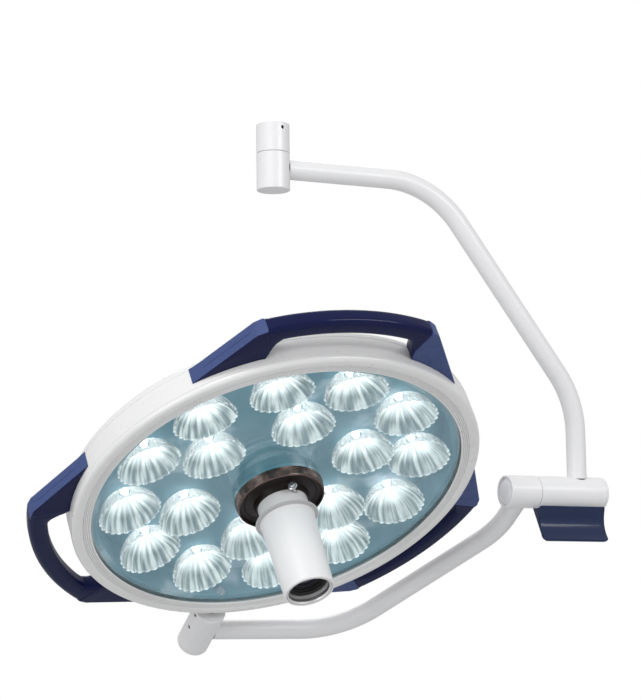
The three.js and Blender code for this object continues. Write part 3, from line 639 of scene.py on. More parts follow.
# ---------------------------------------------------------------- first hub and outer arm
def grub_screw(name, axes, start, direction, radius, length):
    """A socket set screw: threaded body, chamfered end and a six-sided recess."""
    at = along(axes, start, direction)
    pitch = 0.5
    body = [(0, 0), (radius - 0.5, 0, 0.1)]
    turns = int((length - 1.2) / pitch)
    for i in range(turns):
        z = 0.5 + i * pitch
        body += [(radius - 0.28, z), (radius, z + pitch / 2)]
    body += [(radius - 0.28, 0.5 + turns * pitch), (radius, length - 0.6)]
    body += [(radius - 0.45, length, 0.1), (0, length)]
    screw = lathe(name, at, body, 48, 20)
    flats, floor, above = radius * 0.55, length - 1.5, length + 1
    hexagon = lathe(name + "_key", at, [(0, floor), (flats, floor), (flats, above), (0, above)], 6)
    return carved(screw, [hexagon])


def screw_cutters(axes, out, height, radius, start, reach):
    """Cutters for a set screw's hole along out at a height, and for its countersink at a hub's radius."""
    hole = rod("hole", axes, out * start + [0, 0, height], out, SCREW_HOLE, reach, 40)
    mouth = along(axes, out * (radius - 0.7) + [0, 0, height], out)
    return [hole, lathe("sink", mouth, [(0, 0), (SCREW_HOLE, 0), (4.2, 1.5), (0, 1.5)], 40)]


def hub_hole(axes, start, direction):
    """A cutter for the hole in which a tube sits in a hub's wall."""
    return rod("hole", axes, start, direction, TUBE_R + GAP, 40, 72)


def hub_housing(node, axes, body, inner, edges, closed_high, cutters):
    """A hub's housing: closed at one end but for its axle hole, open at the other, less its cutters."""
    low, high, radius, axle = axes.span(node)
    closed, opening = (high, low) if closed_high else (low, high)
    floor = closed - WALL if closed_high else closed + WALL
    profile = [
        (axle, closed, 0.2), (radius, closed, edges[0]), (radius, opening, edges[1]),
        (inner, opening, edges[2]), (inner, floor, 0.4), (axle, floor, 0.2),
    ]
    housing = lathe(node + "_smooth", axes, profile[::-1] if closed_high else profile, ROUND)
    carved(housing, cutters)
    piece(housing, body, white, "white_enamel", node)


def build_first_hub():
    """The socket on the ceiling side, the swivel under it, and the outer arm."""
    low, high, radius, axle = WORLD.span("socket_housing")
    floor, bore = high - 36, 13
    profile = [
        (axle, low, 0.2), (radius, low, 0.7), (radius, high, 1.5), (bore + 1.2, high, 0.2),
        (bore, high - 1.2, 0.2), (bore, floor, 0.4), (axle, floor, 0.3),
    ]
    housing = lathe("socket_housing_smooth", WORLD, profile, ROUND)
    x, y, z = WORLD.of("locking_screw").mean(axis=0)
    out = np.array([x, y, 0]) / math.hypot(x, y)
    carved(housing, screw_cutters(WORLD, out, z, radius, 9, 22))
    piece(housing, "mount", white, "white_enamel", "socket_housing")
    span = np.hypot(*WORLD.of("locking_screw")[:, :2].T)
    start, end = span.min(), math.sqrt(span.max() ** 2 - SCREW_R**2)
    screw = grub_screw("locking_screw_threaded", WORLD, out * start + [0, 0, z], out, SCREW_R, end - start)
    piece(screw, "mount", black_steel, "black_steel", "locking_screw")

    tube = WORLD.of("outer_arm_tube")
    level = tube[:, 2].max() - TUBE_R
    low, high, radius, _ = WORLD.span("swivel_cap")
    hole = hub_hole(WORLD, [8, 0, level], [1, 0, 0])
    hub_housing("swivel_housing", WORLD, "outer_arm", radius + GAP, (0.7, 1.1, 0.25), True, [hole])
    profile = [
        (0, high), (radius, high, 0.2), (radius, low + 0.25, 0.6), (radius - 2.6, low, 0.3),
        (radius - 3.2, low + 0.35, 0.2), (0, low + 0.35),
    ]
    turned("swivel_cap", "smooth", WORLD, profile, ROUND, "outer_arm", white, "white_enamel")

    start_x, down_x = tube[:, 0].min(), tube[:, 0].max() - TUBE_R
    end_z = tube[:, 2].min()
    corners = [[start_x, 0, level], [260, 0, level], [down_x, 0, -387], [down_x, 0, end_z]]
    arm = bent_tube("outer_arm_bent", WORLD, corners, 150)
    piece(arm, "outer_arm", white, "white_enamel", "outer_arm_tube")


# ---------------------------------------------------------------- second hub
def build_second_hub():
    """The level hub: the outer arm's pivot housing and the inner arm's rotor housing."""
    inner = PIVOT.span("pivot_housing")[2] - SKIN
    tube_x = WORLD.of("outer_arm_tube")[:, 0].max() - TUBE_R
    hole = hub_hole(PIVOT, [0, 8, tube_x], [0, 1, 0])
    hub_housing("pivot_housing", PIVOT, "outer_arm", inner, (0.7, 0.5, 0.3), False, [hole])
    low, high, radius, _ = PIVOT.span("pivot_end_cap")
    step = high - 3.7
    profile = [
        (0, low), (inner - 0.3, low, 0.5), (inner - 0.3, step, 0.1), (radius, step, 0.5),
        (radius, high, 2.6), (radius - 7, high, 0.4), (radius - 7.6, high - 0.5, 0.3),
        (0, high - 0.5),
    ]
    turned("pivot_end_cap", "smooth", PIVOT, profile, ROUND, "outer_arm", white, "white_enamel")

    arm_x = ARM.of("inner_arm_tube")[:, 0].max() - TUBE_R
    out = np.array([third[1], third[2], 0])
    hole = hub_hole(PIVOT, [out[0] * 8, out[1] * 8, arm_x], out)
    hub_housing("rotor_housing", PIVOT, "inner_arm", inner, (0.7, 2.2, 0.6), True, [hole])
    low, high, radius, _ = PIVOT.span("rotor_cap")
    profile = [
        (0, high), (radius, high, 0.3), (radius, low + 3.2, 0.9), (radius - 2.4, low + 2.3, 0.3),
        (radius - 3.0, low + 2.7, 0.3),
        *spline([(radius - 3.6, low + 2.3), (13, low + 0.95), (6, low + 0.2), (0, low)], 6),
    ]
    turned("rotor_cap", "domed", PIVOT, profile, ROUND, "inner_arm", white, "white_enamel")


# ---------------------------------------------------------------- control panel
def build_panel():
    """The curved key panel that hangs under the second hub, with its three keys."""
    (left, lip_y, lip_z), (right, back_y, _) = np.array([np.array(c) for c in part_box("control_panel")]) / MM
    centre_z = head_centre[2] / MM
    saddle = PIVOT.span("pivot_housing")[2] + GAP
    front_y = lip_y + 9.5

    def on_saddle(y):
        return centre_z - math.sqrt(saddle**2 - y**2)

    front = np.array([[front_y, centre_z - 26], [-4, centre_z - 52], [lip_y, lip_z + 3.6]])
    curve = []
    for k in range(29):
        t = k / 28
        curve.append((1 - t) ** 2 * front[0] + 2 * t * (1 - t) * front[1] + t * t * front[2])
    lip = [
        (*curve[-1],), (lip_y, lip_z + 2.2, 1.2), (lip_y + 1.6, lip_z + 0.4, 1.0),
        (lip_y + 5.0, lip_z, 1.2), (back_y, centre_z - 22),
    ]
    outline = [*curve[:-1], *rounded(lip, False)]
    dense = []
    for a, b in zip(outline, [*outline[1:], None]):
        dense.append(a)
        if b is not None and np.linalg.norm(b - a) > 12:
            steps = int(np.linalg.norm(b - a) / 4)
            dense += [a + (b - a) * i / steps for i in range(1, steps)]
    dense.append(np.array([back_y, on_saddle(back_y)]))
    for k in range(1, 25):
        y = back_y + (front_y - 0.3 - back_y) * k / 24
        dense.append(np.array([y, on_saddle(y)]))
    dense = [p for i, p in enumerate(dense) if np.linalg.norm(p - dense[i - 1]) > 0.02]
    corner = 8.0

    def inset(z):
        d = max(0.0, corner - (z - lip_z))
        return corner - math.sqrt(max(0.0, corner**2 - d * d)) if d > 0 else 0.0

    verts, faces = [], []
    count = len(dense)
    columns = 14
    for c in range(columns + 1):
        for y, z in dense:
            a, b = left + inset(z), right - inset(z)
            verts.append((a + (b - a) * c / columns, y, z))
    for c in range(columns):
        faces += [quad(c, c + 1, i, count) for i in range(count)]
    faces.append(list(range(count)))
    faces.append([columns * count + i for i in range(count)][::-1])
    panel = finish_mesh("control_panel_shell", WORLD.out(verts), faces)
    bevel = panel.modifiers.new("edge", "BEVEL")
    bevel.width = 0.0011
    bevel.segments = 3
    bevel.limit_method = "ANGLE"
    bevel.angle_limit = math.radians(55)
    bevel.use_clamp_overlap = True
    applied(panel)

    outward = -np.array(joints["power_press"]["axis"], float)
    cutters = []
    keys = {"key_brighter": "brighter_key", "key_power": "power_key", "key_dimmer": "dimmer_key"}
    for node, body in keys.items():
        points = WORLD.of(node)
        depth = points @ outward
        middle = (points.min(axis=0) + points.max(axis=0)) / 2
        base = middle + outward * (depth.min() - middle @ outward)
        length = depth.max() - depth.min()
        at = along(WORLD, base, outward)
        radius = 6.5
        cutters.append(rod("pocket", WORLD, base - outward * 1.6, outward, radius + 0.5, 9, 64))
        mouth = along(WORLD, base + outward * (length - 1.6), outward)
        cutters.append(lathe("lead_in", mouth, [(0, 0), (6.85, 0), (8.4, 1.55), (8.4, 4), (0, 4)], 64))
        rim = [(0, 0), (radius, 0, 0.3), (radius, length - 0.15, 0.7), (radius - 1.5, length, 0.3)]
        dish = [(r, length - drop) for r, drop in ((radius - 1.9, 0.35), (3.6, 0.62), (1.8, 0.72), (0, 0.75))]
        turned(node, "rubber", at, [*rim, *spline(dish, 5)], 64, body, rubber, "key_rubber")
    carved(panel, cutters)
    piece(panel, "outer_arm", panel_blue, "panel_navy", "control_panel")


# ---------------------------------------------------------------- inner arm and third hub
def build_inner_arm():
    """The inner arm and the third hub, which holds the head."""
    tube = ARM.of("inner_arm_tube")
    top_x = tube[:, 0].max() - TUBE_R
    low_s = tube[:, 1].max() - TUBE_R
    end_x, top_s = tube[:, :2].min(axis=0)
    corners = [[top_x, top_s, 0], [top_x, 97.5, 0], [240.5, low_s, 0], [end_x, low_s, 0]]
    arm = bent_tube("inner_arm_bent", ARM, corners, 125)
    piece(arm, "inner_arm", white, "white_enamel", "inner_arm_tube")

    radius = YOKE.span("yoke_housing")[2]
    inner = radius - SKIN
    cutters = [hub_hole(YOKE, [8, 0, low_s], [1, 0, 0])]
    screws = []
    for name in ("yoke_screw_1", "yoke_screw_2"):
        points = YOKE.of(name)
        x, y, s = (points.min(axis=0) + points.max(axis=0)) / 2
        out = np.array([x, y, 0]) / math.hypot(x, y)
        cutters += screw_cutters(YOKE, out, s, radius, inner - 3, 12)
        screws.append((name, out, s, points @ out))
    hub_housing("yoke_housing", YOKE, "inner_arm", inner, (1.8, 0.6, 0.3), False, cutters)
    for name, out, s, reach in screws:
        start, length = reach.min(), reach.max() - reach.min()
        screw = grub_screw(name + "_threaded", YOKE, out * start + [0, 0, s], out, SCREW_R, length)
        piece(screw, "inner_arm", black_steel, "black_steel", name)
    low, high, radius, _ = YOKE.span("yoke_cap")
    step = low + 6.3
    profile = [
        (0, low), (inner - GAP, low, 0.4), (inner - GAP, step, 0.1), (radius, step, 0.5),
        *spline([(radius - dx, high - dz) for dx, dz in ((0, 6.5), (1.2, 3.6), (4.2, 1.2), (9, 0.2))], 6),
        (0, high),
    ]
    turned("yoke_cap", "domed", YOKE, profile, ROUND, "inner_arm", white, "white_enamel")


# ---------------------------------------------------------------- head shell
def build_shell():
    """The head's rear cover, bezel, front glass, cast carrier frame and shaft."""
    low, high, radius, _ = HEAD.span("rear_cover")
    wall = HEAD.span("bezel")[2] - 3
    dome = [
        (0, low), (46, low + 0.8), (110, low + 4), (158, low + 8.8), (200, low + 14.6),
        (242, low + 22.6), (271, low + 31), (287, low + 39.8), (296.4, low + 47.4),
        (299.2, low + 51.4), (radius, low + 55),
    ]
    outer = spline(dome, 7)
    groove = [
        (radius, low + 57.5, 0.3), (radius - 0.7, low + 57.9, 0.2), (radius - 0.7, low + 58.6, 0.2),
        (radius, low + 59, 0.3),
    ]
    inside = [
        (wall, high, 0.3), (wall, low + 54), (291, low + 49.5), (265, low + 34.8), (198, low + 18),
        (109, low + 7), (0, low + 3),
    ]
    cover = lathe("rear_cover_smooth", HEAD, [*outer, *groove, (radius, high, 0.5), *inside], FINE, CRISP)
    carved(cover, [rod("hole", HEAD, [0, -radius + 20, 0], [0, -1, 0], 10, 40, 48)])
    piece(cover, "head", head_white, "head_white", "rear_cover")

    back, front, radius, lip = HEAD.span("bezel")
    glass_low, glass_high, glass_r, glass_hole = HEAD.span("front_glass")
    crown = front
    points = [
        (radius, back + 1.2), (radius - 0.25, back + 3.2), (radius - 1.6, back + 5.8),
        (radius - 4.6, back + 7.8), (radius - 9, crown - 0.1), (radius - 12.5, crown - 0.2),
        (radius - 15.2, crown - 1.0), (radius - 16.2, crown - 1.9),
    ]
    band = spline(points, 6)
    waves = []
    start = radius - 16.6
    grooves = 4
    steps = 12 * grooves
    for k in range(steps + 1):
        r = start - k / steps * (start - lip - 0.8)
        ridge = abs(math.sin(k / steps * grooves * math.pi)) ** 0.6
        waves.append((r, crown - 3.0 + 1.5 * ridge))
    profile = [
        (radius, back, 0.2), *band, *waves, (lip, crown - 3.4, 0.2), (lip, glass_high + GAP, 0.1),
        (glass_r + GAP, glass_high + GAP, 0.1), (glass_r + GAP, back, 0.1),
    ]
    turned("bezel", "smooth", HEAD, profile, 256, "head", head_white, "head_white", 40)

    profile = [(r, z, 0.4) for r, z in ((glass_hole, glass_low), (glass_r, glass_low), (glass_r, glass_high))]
    profile.append((glass_hole, glass_high, 0.4))
    turned("front_glass", "pane", HEAD, profile, FINE, "head", front_glass, "front_glass")

    _, frame_high, frame_r, frame_in = HEAD.span("carrier_frame")
    seat = HEAD.span("reflector_plate")[0] - GAP
    profile = [
        (frame_in, seat - 3, 0.6), (264.6, seat - 3, 0.8), (264.6, 4, 0.8), (frame_r, 4, 0.6),
        (frame_r, 8, 0.6), (glass_r - 0.5, 8, 0.4), (glass_r - 0.5, frame_high, 0.4),
        (268, frame_high, 0.4), (268, 8, 0.4), (262, 8, 0.8), (262, seat, 0.4),
        (frame_in, seat, 0.4),
    ]
    pan = lathe("carrier_frame_cast", HEAD, profile, FINE)
    keep_out = HEAD.of("carrier_frame")
    block_low = keep_out[keep_out[:, 1] < -285]
    block_top = block_low[:, 1].min()
    verts = [(x, y, z) for x in (-20, 20) for y in (block_top, -262.5) for z in (-14, 6)]
    faces = [[0, 1, 3, 2], [4, 6, 7, 5], [0, 4, 5, 1], [2, 3, 7, 6], [0, 2, 6, 4], [1, 5, 7, 3]]
    block = finish_mesh("block", HEAD.out(verts), faces)
    carved(pan, [block], "UNION")
    shaft_r = 8
    carved(pan, [rod("bore", HEAD, [0, -256, 0], [0, -1, 0], shaft_r + GAP, 46, 48)])
    # The glowing teal goes on the pan's inner faces up to the glass. There it lifts the shade between the
    # wall and the glass as painted light.
    paint_faces(pan, lambda p: (np.hypot(p[:, 0], p[:, 1]) < 269) & (p[:, 2] > seat + 1))
    piece(pan, "head", [cast, carrier_teal], "cast_frame", "carrier_frame")

    shaft = HEAD.of("head_shaft")
    top, end = shaft[:, 1].max(), shaft[:, 1].min()
    length = top - end
    profile = [
        (0, 0), (shaft_r, 0, 0.8), (shaft_r, length - 5, 0.3), (13, length - 5, 0.5), (13, length, 0.8),
        (0, length),
    ]
    down = along(HEAD, [0, top, 0], [0, -1, 0])
    turned("head_shaft", "turned", down, profile, 64, "head", steel, "steel")


# ---------------------------------------------------------------- optics
def bell_centre(node):
    """A reflector's neck, its angle about the head's axis, its rim's slope, and both their heights."""
    p = HEAD.of(node)
    neck = p[p[:, 2] < p[:, 2].min() + 0.05]
    centre = neck[:, :2].mean(axis=0)
    angle = math.atan2(centre[1], centre[0])
    radial = np.array([math.cos(angle), math.sin(angle)])
    rim = p[np.hypot(*(p[:, :2] - centre).T) > 45.9]
    slope = np.polyfit((rim[:, :2] - centre) @ radial, rim[:, 2], 1)[0]
    return centre, angle, slope, p[:, 2].min(), rim[:, 2].mean()


def bell_mesh(name, slope, neck, rim, radius):
    """A thin fluted bell standing on its neck, with x out from the head's axis and z towards the glass."""
    depth = rim - neck
    points = [
        (9.0, 0.0), (14.5, 0.085), (21.0, 0.17), (28.2, 0.285), (34.8, 0.43), (39.6, 0.575),
        (43.0, 0.74), (45.2, 0.88), (radius, 1.0),
    ]
    guide = spline(points, 2)
    thickness = 1.3
    around = FLUTES * PER_FLUTE
    angles = np.arange(around) * 2 * math.pi / around
    petal = np.abs(np.sin(angles * FLUTES / 2)) ** 0.75
    rows = []
    for side in (0, 1):
        for r, t in guide if side == 0 else guide[::-1]:
            flute = 0.062 * min(1, max(0, (t - 0.04) / 0.55)) ** 0.8
            rr = r * (1 - flute * (1 - petal))
            zz = t * depth - 0.8 * (1 - petal) * max(0, t - 0.9) / 0.1
            if side == 1:
                rr = rr - thickness * (0.55 + 0.45 * t)
                zz = zz + (thickness * 0.75 * (1 - t))
            lean = slope * rr * np.cos(angles) * max(0.0, t)
            rows.append((np.stack([rr * np.cos(angles), rr * np.sin(angles), zz + lean], 1), t))
    lip_out, lip_in = rows[len(guide) - 1], rows[len(guide)]
    crest = (lip_out[0] + lip_in[0]) / 2 + np.array([0, 0, 0.25])
    rows.insert(len(guide), (crest, 1.0))
    verts = np.concatenate([r for r, _ in rows]) * MM
    faces, uvs, sides = [], [], []
    total = len(rows)
    for i in range(total):
        k = (i + 1) % total
        for s in range(around):
            faces.append(quad(i, k, s, around))
            sides.append(1 if i < len(guide) else 0)
            ua, ub = s / around, (s + 1) / around
            va, vb = rows[i][1], rows[k][1]
            uvs.append([(ua, va), (ub, va), (ub, vb), (ua, vb)])
    made = finish_mesh(name, verts, faces, uvs, sides, sharp=50)
    mesh = made.data
    bpy.data.objects.remove(made)
    return mesh


def build_optics():
    """The stepped reflector plate, the eighteen reflectors and their light sources."""
    low, high, outer_r, inner_r = HEAD.span("reflector_plate")
    points = HEAD.of("reflector_plate")
    r = np.hypot(points[:, 0], points[:, 1])
    plate_top = points[r > 100][:, 2].max()
    post_r = r[points[:, 2] > plate_top + 5].max()
    profile = [
        (inner_r, low, 0.3), (outer_r, low, 0.5), (outer_r, plate_top, 0.5), (74, plate_top, 0.6),
        (72, plate_top + 2.2, 0.8), (64, plate_top + 2.2, 1.2), (63, plate_top + 5.5, 1.0),
        (post_r + 7, plate_top + 6.5, 1.0), (post_r + 5.5, plate_top + 14, 0.8),
        (post_r + 1.5, plate_top + 15.5, 0.8), (post_r + 0.8, high - 10, 0.6),
        (post_r, high - 9, 0.6), (post_r, high, 0.6), (inner_r, high, 0.4),
    ]
    plate = lathe("reflector_plate_stepped", HEAD, profile, FINE)
    names = [f"reflector_outer_{i}" for i in range(1, 13)] + [f"reflector_inner_{i}" for i in range(1, 7)]
    cutters, meshes, domes = [], {}, []
    for name in names:
        centre, angle, slope, neck, rim = bell_centre(name)
        cutters.append(rod("hole", HEAD, [*centre, low - 2], [0, 0, 1], 7, 8, 24))
        row = name.split("_")[1]
        if row not in meshes:
            meshes[row] = bell_mesh(f"reflector_{row}", slope, neck, rim, 46.2)
        radial = [math.cos(angle), math.sin(angle), 0]
        tangent = [-math.sin(angle), math.cos(angle), 0]
        at = HEAD.moved([*centre, neck], radial, tangent, [0, 0, 1])
        bell = bpy.data.objects.new(name + "_fluted", meshes[row])
        scene.collection.objects.link(bell)
        bell.matrix_world = at.matrix()
        if not meshes[row].materials:
            meshes[row].materials.append(reflector_mirror)
            meshes[row].materials.append(reflector_clear)
        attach(bell, "head")
        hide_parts(name)
        dome = [(0, 0), (6.4, 0, 0.2), (6.4, 1.4, 0.2)]
        dome += [(6 * math.cos(a), 1.6 + 6 * math.sin(a)) for a in np.radians(np.arange(0, 90, 10))]
        dome += [(0, 7.6)]
        domes.append(lathe("source", HEAD.moved([*centre, low]), dome, 40))
    cutter = joined("holes", cutters)
    carved(plate, [cutter])
    paint_faces(plate, lambda p: (np.hypot(p[:, 0], p[:, 1]) < 64) & (p[:, 2] > plate_top + 3))
    piece(plate, "head", [carrier_teal, post_teal], "carrier_teal", "reflector_plate")
    sources = joined("light_sources", domes)
    piece(sources, "head", light_source, "circuit_board")


# ---------------------------------------------------------------- grab handles
def polar(r, degrees):
    a = math.radians(degrees)
    return np.array([r * math.cos(a), r * math.sin(a)])


def ray_hit(theta, path):
    """Radius at which a ray at an angle from the handle's middle crosses a path of (radius, angle) points."""
    pts = [polar(r, a) for r, a in path]
    for p, q in zip(pts, pts[1:]):
        a0, a1 = math.degrees(math.atan2(p[1], p[0])), math.degrees(math.atan2(q[1], q[0]))
        if a0 - 1e-9 <= theta <= a1 + 1e-9:
            d = polar(1, theta)
            e = q - p
            return float((p[0] * e[1] - p[1] * e[0]) / (d[0] * e[1] - d[1] * e[0]))
    return path[-1][0]


def arc_points(radius, start, end, steps):
    return [(radius, start + (end - start) * k / steps) for k in range(steps + 1)]


def quarter(centre_r, centre_h, radius, start, steps):
    """Points of a section's rounded corner, turning 90 degrees clockwise from the angle start."""
    angles = np.radians(start - 90 * np.arange(steps + 1) / steps)
    return [(centre_r + radius * math.cos(a), centre_h + radius * math.sin(a)) for a in angles]


def build_handle(node):
    """One grab handle: a round bar between two broad shoulders, with a seam where they meet."""
    points = HEAD.of(node)
    wall = HEAD.span("rear_cover")[2] + GAP
    r = np.hypot(points[:, 0], points[:, 1])
    outer = r.max()
    middle_point = points[r > outer - 0.5][:, :2].mean(axis=0)
    middle = math.degrees(math.atan2(middle_point[1], middle_point[0]))
    low, high = points[:, 2].min(), points[:, 2].max()
    inner = outer - 28

    def smooth_path(path, reach):
        """Rounds a path of (radius, angle) points in the plane."""
        flat = [(*polar(q[0], q[1]), reach if 0 < i < len(path) - 1 else 0) for i, q in enumerate(path)]
        out = []
        for p in rounded(flat, False):
            out.append((float(np.hypot(*p)), math.degrees(math.atan2(p[1], p[0]))))
        return out

    bar = arc_points(outer, 0, 18.2, 12)
    shoulder = [bar[-1], (outer - 0.6, 19.6), (outer - 5, 22.3), (305.5, 37.9), (wall + 0.01, 40.7)]
    out_path = [*bar[:-1], *smooth_path(shoulder, 5)]
    bar = arc_points(inner, 0, 14.6, 10)
    elbow = [bar[-1], (inner - 0.6, 16.5), (inner - 7, 18.0), (wall, 21.0)]
    in_path = [*bar[:-1], *smooth_path(elbow, 4), *arc_points(wall, 21.0, 41.0, 20)[1:]]
    seam = 19.7
    spread = [np.arange(0, 14, 1.0), np.arange(14, 24, 0.2), np.arange(24, 40.4, 0.6)]
    seam_lines = {seam - 0.16, seam - 0.07, seam, seam + 0.07, seam + 0.16}
    thetas = sorted({round(t, 3) for t in np.concatenate(spread)} | seam_lines | {40.45})
    thetas = [-t for t in thetas[::-1] if t > 0] + thetas
    centre_h = (low + high) / 2
    half_h = (high - low) / 2
    groove_h = low + 13.6
    steps = 7
    rows, face_kind = [], []
    for theta in thetas:
        a = abs(theta)
        r_out, r_in = ray_hit(a, out_path), ray_hit(a, in_path)
        r_out = max(r_out, r_in + 0.6)
        blend = min(1, max(0, (a - seam + 0.6) / 1.2))
        corner = 8.8 * (1 - blend) + 2.4 * blend
        inner_corner = 8.8 * (1 - blend) + 2.0 * blend
        thick = r_out - r_in
        corner = min(corner, thick * 0.45, half_h * 0.9)
        inner_corner = min(inner_corner, thick * 0.45) if a < 21 else 0.01
        shrink = 0.0
        if abs(a - seam) < 0.1:
            shrink = 0.55
        elif abs(a - seam) < 0.18:
            shrink = 0.12
        hh = half_h - shrink - (0.8 * min(1, max(0, (a - 20) / 3)))
        ro, ri = r_out - shrink, r_in + (shrink if a < 21 else 0)
        groove = 0.9 * min(1, max(0, (a - 22.5) / 1.2)) * min(1, max(0, (37.2 - a) / 1.2))
        top_flat, low_flat = centre_h + hh - corner, centre_h - hh + corner
        section = quarter(ro - corner, top_flat, corner, 90, steps)
        stops = [0.9, 0.5, 0.2, -0.2, -0.5, -0.9]
        drops = [0, 0.55, 1, 1, 0.55, 0]
        around = min(max(groove_h, low_flat + 1.2), top_flat - 1.2)
        for stop, drop in zip(stops, drops):
            section.append((ro - groove * drop, around + stop))
        section += quarter(ro - corner, low_flat, corner, 0, steps)
        section += quarter(ri + inner_corner, centre_h - hh + inner_corner, inner_corner, -90, steps)
        section += quarter(ri + inner_corner, centre_h + hh - inner_corner, inner_corner, -180, steps)
        rows.append([(*polar(rr, middle + theta), h) for rr, h in section])
        face_kind.append(0 if a < seam else 1)
    size = len(rows[0])
    grained = range(steps // 2, size - 2 * steps - 2)
    verts = np.array([v for row in rows for v in row])
    faces, kinds = [], []
    for i in range(len(rows) - 1):
        for s in range(size):
            faces.append(quad(i, i + 1, s, size))
            front = s == size - 1 or s < steps // 2
            on_shoulder = face_kind[i] and face_kind[i + 1]
            painted_lit_side = rows[i][s][0] > 0
            # Grained paint on the shoulders' outer faces. The front faces take the lighter grained paint only
            # on one side, as painted light, and stay dark navy on the other, as painted shade.
            kinds.append(1 if on_shoulder and (s in grained or (front and painted_lit_side)) else 0)
    faces.append(list(range(size)))
    faces.append([(len(rows) - 1) * size + s for s in range(size)][::-1])
    kinds += [1, 1]
    handle = finish_mesh(node + "_moulded", HEAD.out(verts), faces, mats=kinds, sharp=28)
    return piece(handle, "head", [navy, navy_rough], "handle_navy", node)


# ---------------------------------------------------------------- centre of the head
def build_centre():
    """The hub ring in the middle of the glass, with the camera barrel and its lens."""
    back, neck_tip, radius, bore = HEAD.span("hub_ring")
    points = HEAD.of("hub_ring")
    r = np.hypot(points[:, 0], points[:, 1])
    front = points[r > 60][:, 2].max()
    neck = r[points[:, 2] > neck_tip - 0.1].max()
    foot = r[points[:, 2] < back + 0.1].max()
    rim_low = points[r > radius - 0.1][:, 2].min()
    recess = r[points[:, 2] > front - 0.1]
    recess, lip = recess[recess > 50].min(), recess.max() + 0.8
    groove_low = 18.2
    profile = [
        (bore, back, 0.3), (foot, back, 0.4), (foot, rim_low, 0.3), (radius - 0.6, rim_low, 0.4),
        (radius, rim_low + 0.6, 0.3), (radius, groove_low - 0.5, 0.25),
        (radius - 1, groove_low, 0.2), (radius - 1, groove_low + 1.4, 0.2),
        (radius - 0.3, groove_low + 1.9, 0.3), (radius - 1.3, front - 2.2, 0.4),
        (radius - 1.6, front - 0.9, 0.4), (lip - 0.9, front, 0.5), (recess, front, 0.5),
        (recess - 0.7, front - 1.5, 0.4), (recess - 0.8, front - 5.8, 0.8),
        (53.4, front - 6.6, 0.5), (52.4, front - 5.6, 0.4), (neck + 2.2, front - 3, 1.5),
        (neck, neck_tip - 0.6, 0.3), (neck - 0.5, neck_tip, 0.25), (bore, neck_tip, 0.3),
    ]
    ring = lathe("hub_ring_turned", HEAD, profile, FINE, CRISP)
    # The faces inside the lip get the near-black paint: painted shade in the recess.
    paint_faces(ring, lambda p: (np.hypot(p[:, 0], p[:, 1]) < recess - 0.3) & (p[:, 2] > back + 1))
    piece(ring, "head", [bronze, recess_painted_shade], "hub_bronze", "hub_ring")

    low, tip, flange, _ = HEAD.span("camera_barrel")
    points = HEAD.of("camera_barrel")
    r = np.hypot(points[:, 0], points[:, 1])
    barrel_r = r[points[:, 2] > tip - 1].max()
    window = r[points[:, 2] > tip - 1].min()
    floor = points[(r < window + 0.5) & (points[:, 2] < tip - 1) & (points[:, 2] > 0)][:, 2].max()
    steps = []
    for i in range(3):
        z = tip - 2.0 - i * 3.6
        steps += [(window + 2.4 - i * 0.8, z, 0.2), (window + 1.6 - i * 0.8, z - 0.6, 0.2)]
    profile = [
        (0, low), (flange, low, 0.6), (flange, low + 5, 0.6), (barrel_r, low + 5, 1.0),
        (barrel_r, tip, 0.8), (window + 3.2, tip, 0.4), *steps, (window, floor, 0.2), (0, floor),
    ]
    turned("camera_barrel", "turned", HEAD, profile, ROUND, "head", barrel_black, "barrel_black", CRISP)
    back, crown, radius, _ = HEAD.span("camera_lens")
    rim = [(0, back), (radius, back, 0.3), (radius, back + 2.4, 0.5), (radius - 1.8, back + 3.0, 0.2)]
    dome = [(radius - 2.4, back + 2.8), (14, back + 4.9), (7, crown - 0.35), (0, crown)]
    turned("camera_lens", "domed", HEAD, rim + spline(dome, 8), ROUND, "head", lens_glass, "lens_glass")


